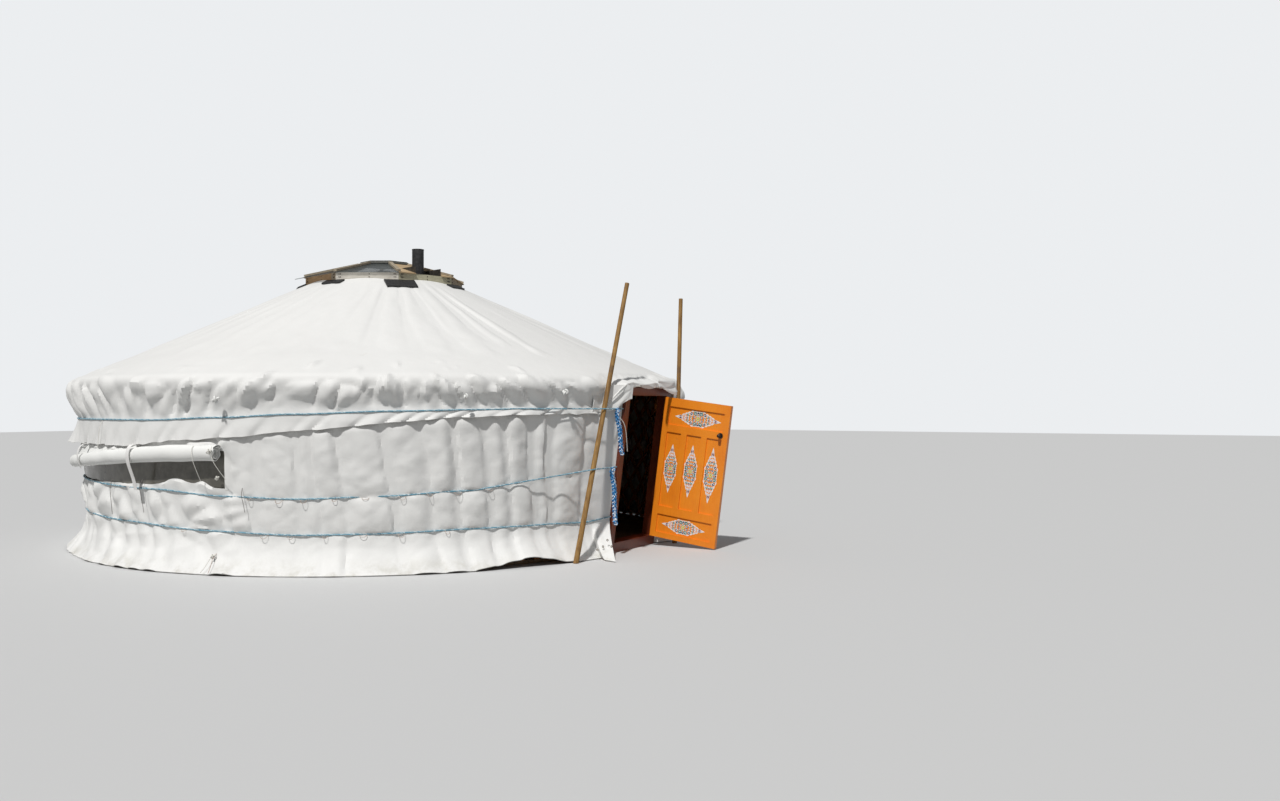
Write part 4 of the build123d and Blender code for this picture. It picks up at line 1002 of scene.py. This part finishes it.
# Each place is an angle, a height and how far it stands out
for name, diameter, paint, route in (
        ("roll_string_front", 0.0045, white_cord,
         ((551.2, 0.962, 0.014), (551.2, 0.985, 0.075), (551.3, 0.965, 0.115), (551.6, 0.90, 0.137),
          (551.9, 0.82, 0.125), (552.2, 0.711, 0.085))),
        ("roll_string_end", 0.0045, white_cord,
         ((554.4, 0.95, 0.014), (554.4, 0.988, 0.07), (554.6, 0.965, 0.112), (554.9, 0.90, 0.136),
          (555.5, 0.82, 0.12), (556.4, 0.722, 0.07))),
        ("sill_string", 0.004, dark_cord,
         ((538.4, 0.70, 0.014), (538.5, 0.655, 0.048), (538.7, 0.60, 0.052), (539.0, 0.52, 0.048),
          (539.3, 0.44, 0.050))),
        ("sill_string_far", 0.004, dark_cord,
         ((529.6, 0.69, 0.014), (529.6, 0.64, 0.048), (529.8, 0.56, 0.050), (529.7, 0.47, 0.046),
          (529.9, 0.40, 0.048))),
        ("seam_string", 0.004, dark_cord,
         ((558.4, 0.655, 0.014), (558.6, 0.62, 0.050), (558.8, 0.57, 0.054), (559.0, 0.52, 0.050),
          (559.1, 0.473, 0.050))),
        ("band_string", 0.005, white_cord,
         ((527.3, 1.165, 0.020), (527.3, 1.12, 0.048), (527.2, 1.07, 0.056), (527.0, 1.0, 0.062),
          (526.8, 0.945, 0.064))),
        ("hem_string_left", 0.005, white_cord,
         ((553.9, 0.150, 0.014), (553.8, 0.125, 0.050), (553.6, 0.085, 0.050), (553.4, 0.05, 0.045),
          (553.2, 0.022, 0.045))),
        ("hem_string_right", 0.005, brown_cord,
         ((554.1, 0.150, 0.014), (554.2, 0.120, 0.052), (554.4, 0.080, 0.055), (554.5, 0.05, 0.050),
          (554.6, 0.020, 0.052)))):
    string(name, [off_wall(*place) for place in route], diameter, paint)
string("hank_string", ((-0.512, -2.972, 1.185), (-0.490, -2.998, 1.150), (-0.455, -3.000, 1.07),
                       (-0.425, -2.990, 0.985), (-0.398, -2.980, 0.895)), 0.006, white_cord)
# A loop's places as shares of its width and its drop, and how far each stands out
LOOP = ((-1, 0, 0.010), (-0.95, 0.55, 0.026), (-0.4, 1.1, 0.034),
        (0.4, 1.1, 0.034), (0.95, 0.55, 0.026), (1, 0, 0.010))
for rope, stations, angles in (
        ("middle", MIDDLE_ROPE, (559.5, 564.3, 568.2, 572.9, 577.6, 583.2, 587.4, 591.8, 597.0)),
        ("low", LOW_ROPE, (547.3, 561.8, 566.1, 571.4, 577.2, 583.0, 590.2))):
    for number, angle in enumerate(angles):
        height = level_at(stations, angle) - 0.006
        wide = 0.36 + 0.10 * (number * 5 % 3)
        drop = 0.013 + 0.004 * (number * 7 % 4)
        route = [off_wall(angle + wide * across, height - drop * fall, out)
                 for across, fall, out in LOOP]
        string("loop_%s_%d" % (rope, number), route, 0.0035, brown_cord)

for name, angle, height, out, size, paint, thick in (
        ("roll_knot", 554.6, 0.942, 0.135, 0.020, white_cord, 0.0045),
        ("hem_knot", 554.0, 0.135, 0.045, 0.018, white_cord, 0.0045),
        ("eave_knot_left", 555.8, 1.335, 0.115, 0.026, flap_canvas, 0.008),
        ("eave_knot_right", 608.8, 1.398, 0.118, 0.024, flap_canvas, 0.008),
        ("eave_knot_middle", 592.3, 1.360, 0.118, 0.020, flap_canvas, 0.007),
        ("wall_knot", 554.6, 0.735, 0.050, 0.016, white_cord, 0.004)):
    knot(name, off_wall(angle, height, out), size, thick, paint, radians(angle))
knot("rope_knot_upper", (-0.507, -2.947, 1.250), 0.020, 0.0065, hank_rope)
knot("rope_knot_lower", (-0.495, -2.893, 0.748), 0.020, 0.0065, hank_rope)


# The window's clear sheet, its flap rolled up under the eave, and the flap's straps
def window_vinyl():
    angle, height = np.meshgrid(np.linspace(WINDOW_START - 0.05, WINDOW_END + 0.25, 70),
                                np.linspace(SILL - 0.008, WINDOW_HEAD + 0.006, 16), indexing="ij")
    radius = wall_radius(height) - 0.006 - 0.003 * (rough(angle * 0.4, height * 9, 124) + 1)
    # The sheet carries the vinyl's tint and the painted shade of the dark inside behind it
    cloth("window_vinyl", on_circle(angle, radius, height), 0.002, [vinyl_and_painted_dark],
          ["window_pane"], offset=-1)


def window_flap():
    """The flap hangs from its top edge and is rolled inwards, a little over two turns."""
    start, length, turns = 499.5, 55.5, 2.05
    angle = np.arange(start, start + length + 0.01, 0.45)[:, None]
    share = (angle - start) / length
    middle = 0.785 + 0.137 * smooth(share)
    size = 0.050 + 0.009 * share + 0.003 * rough(angle * 0.3, 0 * angle, 121)
    around = np.linspace(0, 1, 58)[None, :]
    turn = radians(112) - around * turns * 2 * pi
    reach = size * (1 - 0.50 * around) * (1 + 0.08 * rough(angle * 0.35, around * 9, 122))
    out = wall_radius(middle) + 0.0605 + reach * np.cos(turn) * 0.97
    up = middle + reach * np.sin(turn) * (1.04 + 0.10 * share)
    head = np.linspace(0, 1, 9)[:-1]
    top = 0.962
    inner = wall_radius(top) + 0.006
    out = np.hstack([inner + (out[:, :1] - inner) * head ** 1.4, out])
    up = np.hstack([top + (up[:, :1] - top) * head, up])
    end = np.clip(share * 30, 0, 1) * np.clip((1 - share) * 30, 0, 1)
    points = on_circle(angle + (1 - end) * 0.35 * rough(out * 40, up * 40, 123), out, up)
    thing = cloth("window_flap_roll", points[:, ::-1], 0.0045, [flap_canvas],
                  ["window_roll"])


def strap(name, angle, places, wide):
    """A flat webbing strap at one angle, through places given as height and how far out."""
    route = [off_wall(angle, height, out) for height, out in places]
    line, at = evenly(spline_line(route, name), 0.008)
    half = np.array((-sin(radians(angle)), cos(radians(angle)), 0)) * wide / 2
    thing = cloth(name, np.stack([line - half, line, line + half], axis=1), 0.0022, [webbing])


window_vinyl()
window_flap()
strap("roll_strap", 538.1, ((0.975, 0.020), (0.985, 0.055), (0.972, 0.100), (0.915, 0.128),
                            (0.84, 0.124), (0.76, 0.100), (0.69, 0.078), (0.617, 0.070)), 0.042)
strap("roll_strap_far", 520.0, ((0.965, 0.020), (0.972, 0.055), (0.945, 0.098), (0.885, 0.124),
                                (0.81, 0.120), (0.76, 0.100)), 0.036)


# Cloth that hangs over the door frame's top corners
def hood_drape():
    """The band's end, which laps over the left jamb's head."""
    along, down = unit_grid(46, 26)
    across = -0.70 + along * 0.306
    low = 1.238 + 0.105 * smooth((along - 0.45) / 0.55) + 0.005 * rough(along * 5, down * 0, 131)
    height = 1.466 + (low - 1.466) * down
    wall = np.interp(across, (-0.70, -0.62, -0.52, -0.43, -0.395, -0.35),
                     (-2.806, -2.824, -2.915, -2.990, -3.008, -3.000))
    lean = np.interp(across, (-0.62, -0.43), (-0.066, -0.1317))
    crumple = 0.012 * facets(along * 1.4 + down * 0.6, down * 0.8, 132)
    out = wall + (height - 1.30) * lean - 0.006 * down - crumple - 0.008 * (1 - down)
    thing = cloth("hood_drape", np.stack([across, out, height], axis=-1), 0.005, [roof_canvas])


def hood_corner():
    """The loose corner of roof canvas that hangs over the lintel's right end."""
    along, down = unit_grid(40, 20)
    across = 0.02 + along * 0.42 + down * 0.035 * smooth(along * 1.4)
    low = 1.452 - 0.064 * smooth(along * 1.5) + 0.03 * smooth((along - 0.86) / 0.14)
    height = 1.512 + (low - 1.512) * down
    crumple = 0.014 * facets(along * 1.3 + 0.4, down * 0.9, 134)
    out = -3.052 + 0.05 * smooth((along - 0.7) / 0.3) - 0.012 * down - crumple
    thing = cloth("hood_corner", np.stack([across, out, height], axis=-1), 0.005, [roof_canvas])


hood_drape()
hood_corner()


# Painted ornaments on the leaf
# Curls: centre, size, first and last angle. Petals: start, end, width. All in one quarter.
CURLS = (((0.032, 0.046), 0.019, -150, 250, TEAL), ((0.070, 0.036), 0.017, 190, -190, NAVY),
         ((0.105, 0.027), 0.014, -160, 210, TEAL), ((0.135, 0.019), 0.011, 170, -170, PINK),
         ((0.041, 0.014), 0.012, -120, 240, NAVY), ((0.073, 0.009), 0.009, 160, -150, TEAL),
         ((0.161, 0.012), 0.009, -150, 170, PINK), ((0.009, 0.052), 0.013, 30, -240, NAVY),
         ((0.012, 0.030), 0.009, 200, -120, TEAL))
PETALS = (((0.090, 0.010), (0.122, 0.004), 0.012), ((0.080, 0.052), (0.112, 0.041), 0.013),
          ((0.044, 0.066), (0.078, 0.056), 0.012), ((0.112, 0.041), (0.142, 0.029), 0.012),
          ((0.140, 0.030), (0.172, 0.017), 0.011), ((0.168, 0.008), (0.200, 0.012), 0.012))
PATTERN_LENGTH, PATTERN_WIDTH = 0.48, 0.138
DISC_LIFT, PETAL_LIFT, CURL_LIFT, TOP_LIFT = 0.0004, 0.0006, 0.0010, 0.0012
# Where the ornaments sit on the leaf: along it, up it, length, width, and whether upright
SPOTS = ((0.347, 1.2225, 0.464, 0.150, False), (0.326, 0.2265, 0.440, 0.137, False),
         (0.1275, 0.739, 0.450, 0.130, True), (0.3310, 0.743, 0.481, 0.134, True),
         (0.5360, 0.738, 0.507, 0.136, True))


def swirl(centre, start, end, first, last, count=17):
    """A spiral from one radius and angle to another."""
    share = np.linspace(0, 1, count)
    turn = np.radians(first + (last - first) * share)
    radius = start + (end - start) * share
    return np.stack([centre[0] + radius * np.cos(turn), centre[1] + radius * np.sin(turn)], axis=-1)


def ribbon(line, normal, half, lift, paint):
    """A flat strip of paint that reaches half its width to each side of a line."""
    sides = [np.column_stack([side, np.full(len(line), lift)])
             for side in (line - normal * half, line + normal * half)]
    strip = surface("stroke", np.stack(sides, axis=1))
    strip.data.materials.append(paint.material)
    return strip


def brush(line, wide, lift, paint, taper=0):
    """A brush stroke along a flat line, narrower towards its ends."""
    along = np.gradient(line, axis=0)
    along /= np.linalg.norm(along, axis=1, keepdims=True)
    share = np.linspace(0, 1, len(line))[:, None]
    half = wide / 2 * (1 - taper * np.abs(2 * share - 1) ** 2)
    return ribbon(line, np.stack([-along[:, 1], along[:, 0]], axis=-1), half, lift, paint)


def petal(start, end, wide, lift, paint, count=11):
    """A pointed petal from one point to another."""
    start, end = np.array(start, float), np.array(end, float)
    share = np.linspace(0, 1, count)[:, None]
    normal = np.array([start[1] - end[1], end[0] - start[0]]) / np.linalg.norm(end - start)
    half = wide / 2 * np.sin(pi * share ** 0.8)
    return ribbon(start + (end - start) * share, normal, half, lift, paint)


def ornament():
    """A long lozenge of scrolls and petals round a yellow ring."""
    strokes = []
    for up in (1, -1):
        for across in (1, -1):
            quarter = np.array((up, across))
            for centre, size, first, last, paint in CURLS:
                disc = swirl(centre, size / 2, size / 2, 0, 360) * quarter
                curl = swirl(centre, size * 0.86, size * 0.22, first, last) * quarter
                share = 0.26 if paint is PINK else 0.42
                strokes.append(brush(disc, size, DISC_LIFT, WHITE))
                strokes.append(brush(curl, size * share, CURL_LIFT, paint, 0.3))
            for start, end, wide in PETALS:
                strokes.append(petal(start * quarter, end * quarter, wide, PETAL_LIFT, WHITE))
        for start, end, wide, lift, paint, count in (
                (0.100, 0.152, 0.020, PETAL_LIFT, WHITE, 11),
                (0.114, 0.138, 0.007, TOP_LIFT, PINK, 11),
                (0.150, 0.240, 0.024, PETAL_LIFT, WHITE, 15),
                (0.172, 0.208, 0.007, TOP_LIFT, PINK, 15)):
            strokes.append(petal((up * start, 0), (up * end, 0), wide, lift, paint, count))
    for radius, wide, lift, paint in (
            (0.0120, 0.0240, PETAL_LIFT, WHITE), (0.0200, 0.0026, TOP_LIFT, NAVY),
            (0.0120, 0.0100, TOP_LIFT, YELLOW), (0.0022, 0.0044, TOP_LIFT, NAVY)):
        strokes.append(brush(swirl((0, 0), radius, radius, 0, 360, 25), wide, lift, paint))
    return join(strokes, "leaf_ornament")


def on_leaf(along, up, out):
    """A place on the open leaf: from its hinge edge, up its face, and out from its middle plane."""
    beyond = 0.0125 + along
    return np.stack([0.3055 - out, DOOR_FOOT - up * sin(DOOR_LEAN) - beyond * cos(DOOR_LEAN),
                     up * cos(DOOR_LEAN) - beyond * sin(DOOR_LEAN)], axis=-1)


def leaf_ornaments():
    """Five ornaments on each side of the leaf, as one piece."""
    pattern = ornament()
    long_way, short_way, raised = points_of(pattern).T
    copies = []
    for side in (1, -1):
        for along, up, length, width, upright in SPOTS:
            reach = long_way * length / PATTERN_LENGTH, short_way * width / PATTERN_WIDTH
            beside, above = reach[::-1] if upright else reach
            places = on_leaf(along + beside, up + above, side * (0.0081 + raised))
            copies.append(copy_of(pattern, places))
            if (side > 0) == upright:
                with edited(copies[-1]) as mesh:
                    for face in mesh.faces:
                        face.normal_flip()
    bpy.data.objects.remove(pattern)
    painted = join(copies, "leaf_ornaments")
    apply_modifier(painted, "SOLIDIFY", thickness=0.0006, offset=-1)
    finish_piece(painted, "leaf_ornaments", body="door_leaf")


leaf_ornaments()


# Screws in the crown's boards, the eyelets beside the door, and the flue's rolled rim
def crown_screws():
    """Ten screw heads on each of the crown box's eight sides."""
    only()
    bpy.ops.mesh.primitive_cylinder_add(vertices=14, radius=0.0055, depth=0.004, location=(0, 0, 0))
    head = bpy.context.object
    apply_modifier(head, "BEVEL", width=0.0012, segments=2)
    shape = points_of(head)
    face = BOX_RADIUS * cos(radians(BOX_SIDE / 2)) + 0.0012
    screws = []
    for number in range(8):
        middle = radians(BOX_TURN + BOX_SIDE * (number + 0.5))
        turn = Matrix.Rotation(middle, 3, "Z") @ Matrix.Rotation(pi / 2, 3, "Y")
        for along in (-0.27, -0.255, 0.02, 0.26, 0.275):
            for up in (2.524, 2.553):
                centre = CROWN_CENTRE + Vector((face * cos(middle) - along * sin(middle),
                                                face * sin(middle) + along * cos(middle), up))
                screws.append(copy_of(head, shape @ np.array(turn).T + np.array(centre)))
    bpy.data.objects.remove(head)
    heads = smooth_faces(join(screws, "crown_screws"), 35)
    finish_piece(heads, "crown_screws", screw_steel)


def ring(place, size, thick, segments, rotation=(0, 0, 0)):
    """A round rim, with its place and its turn moved into its mesh."""
    only()
    around, across = segments
    bpy.ops.mesh.primitive_torus_add(major_radius=size, minor_radius=thick, major_segments=around,
                                     minor_segments=across, location=place, rotation=rotation)
    bpy.ops.object.transform_apply(location=True, rotation=True, scale=True)
    return bpy.context.object


crown_screws()
outward = Vector((-0.35, -0.9, 0.35)).to_track_quat("Z", "Y").to_euler()
eyelets = [ring(place, 0.008, 0.0028, (20, 8), outward)
           for place in ((-0.668, -2.941, 0.160), (-0.640, -2.965, 0.105),
                         (-0.700, -2.918, 0.108), (-0.752, -2.894, 0.085))]
eyelets = smooth_faces(join(eyelets, "strip_eyelets"), 40)
finish_piece(eyelets, "strip_eyelets", brass)
rim = ring((-0.196, -0.475, 2.8345), 0.0565, 0.0035, (48, 10))
finish_piece(smooth_faces(rim, 60), "flue_rim", black_steel)
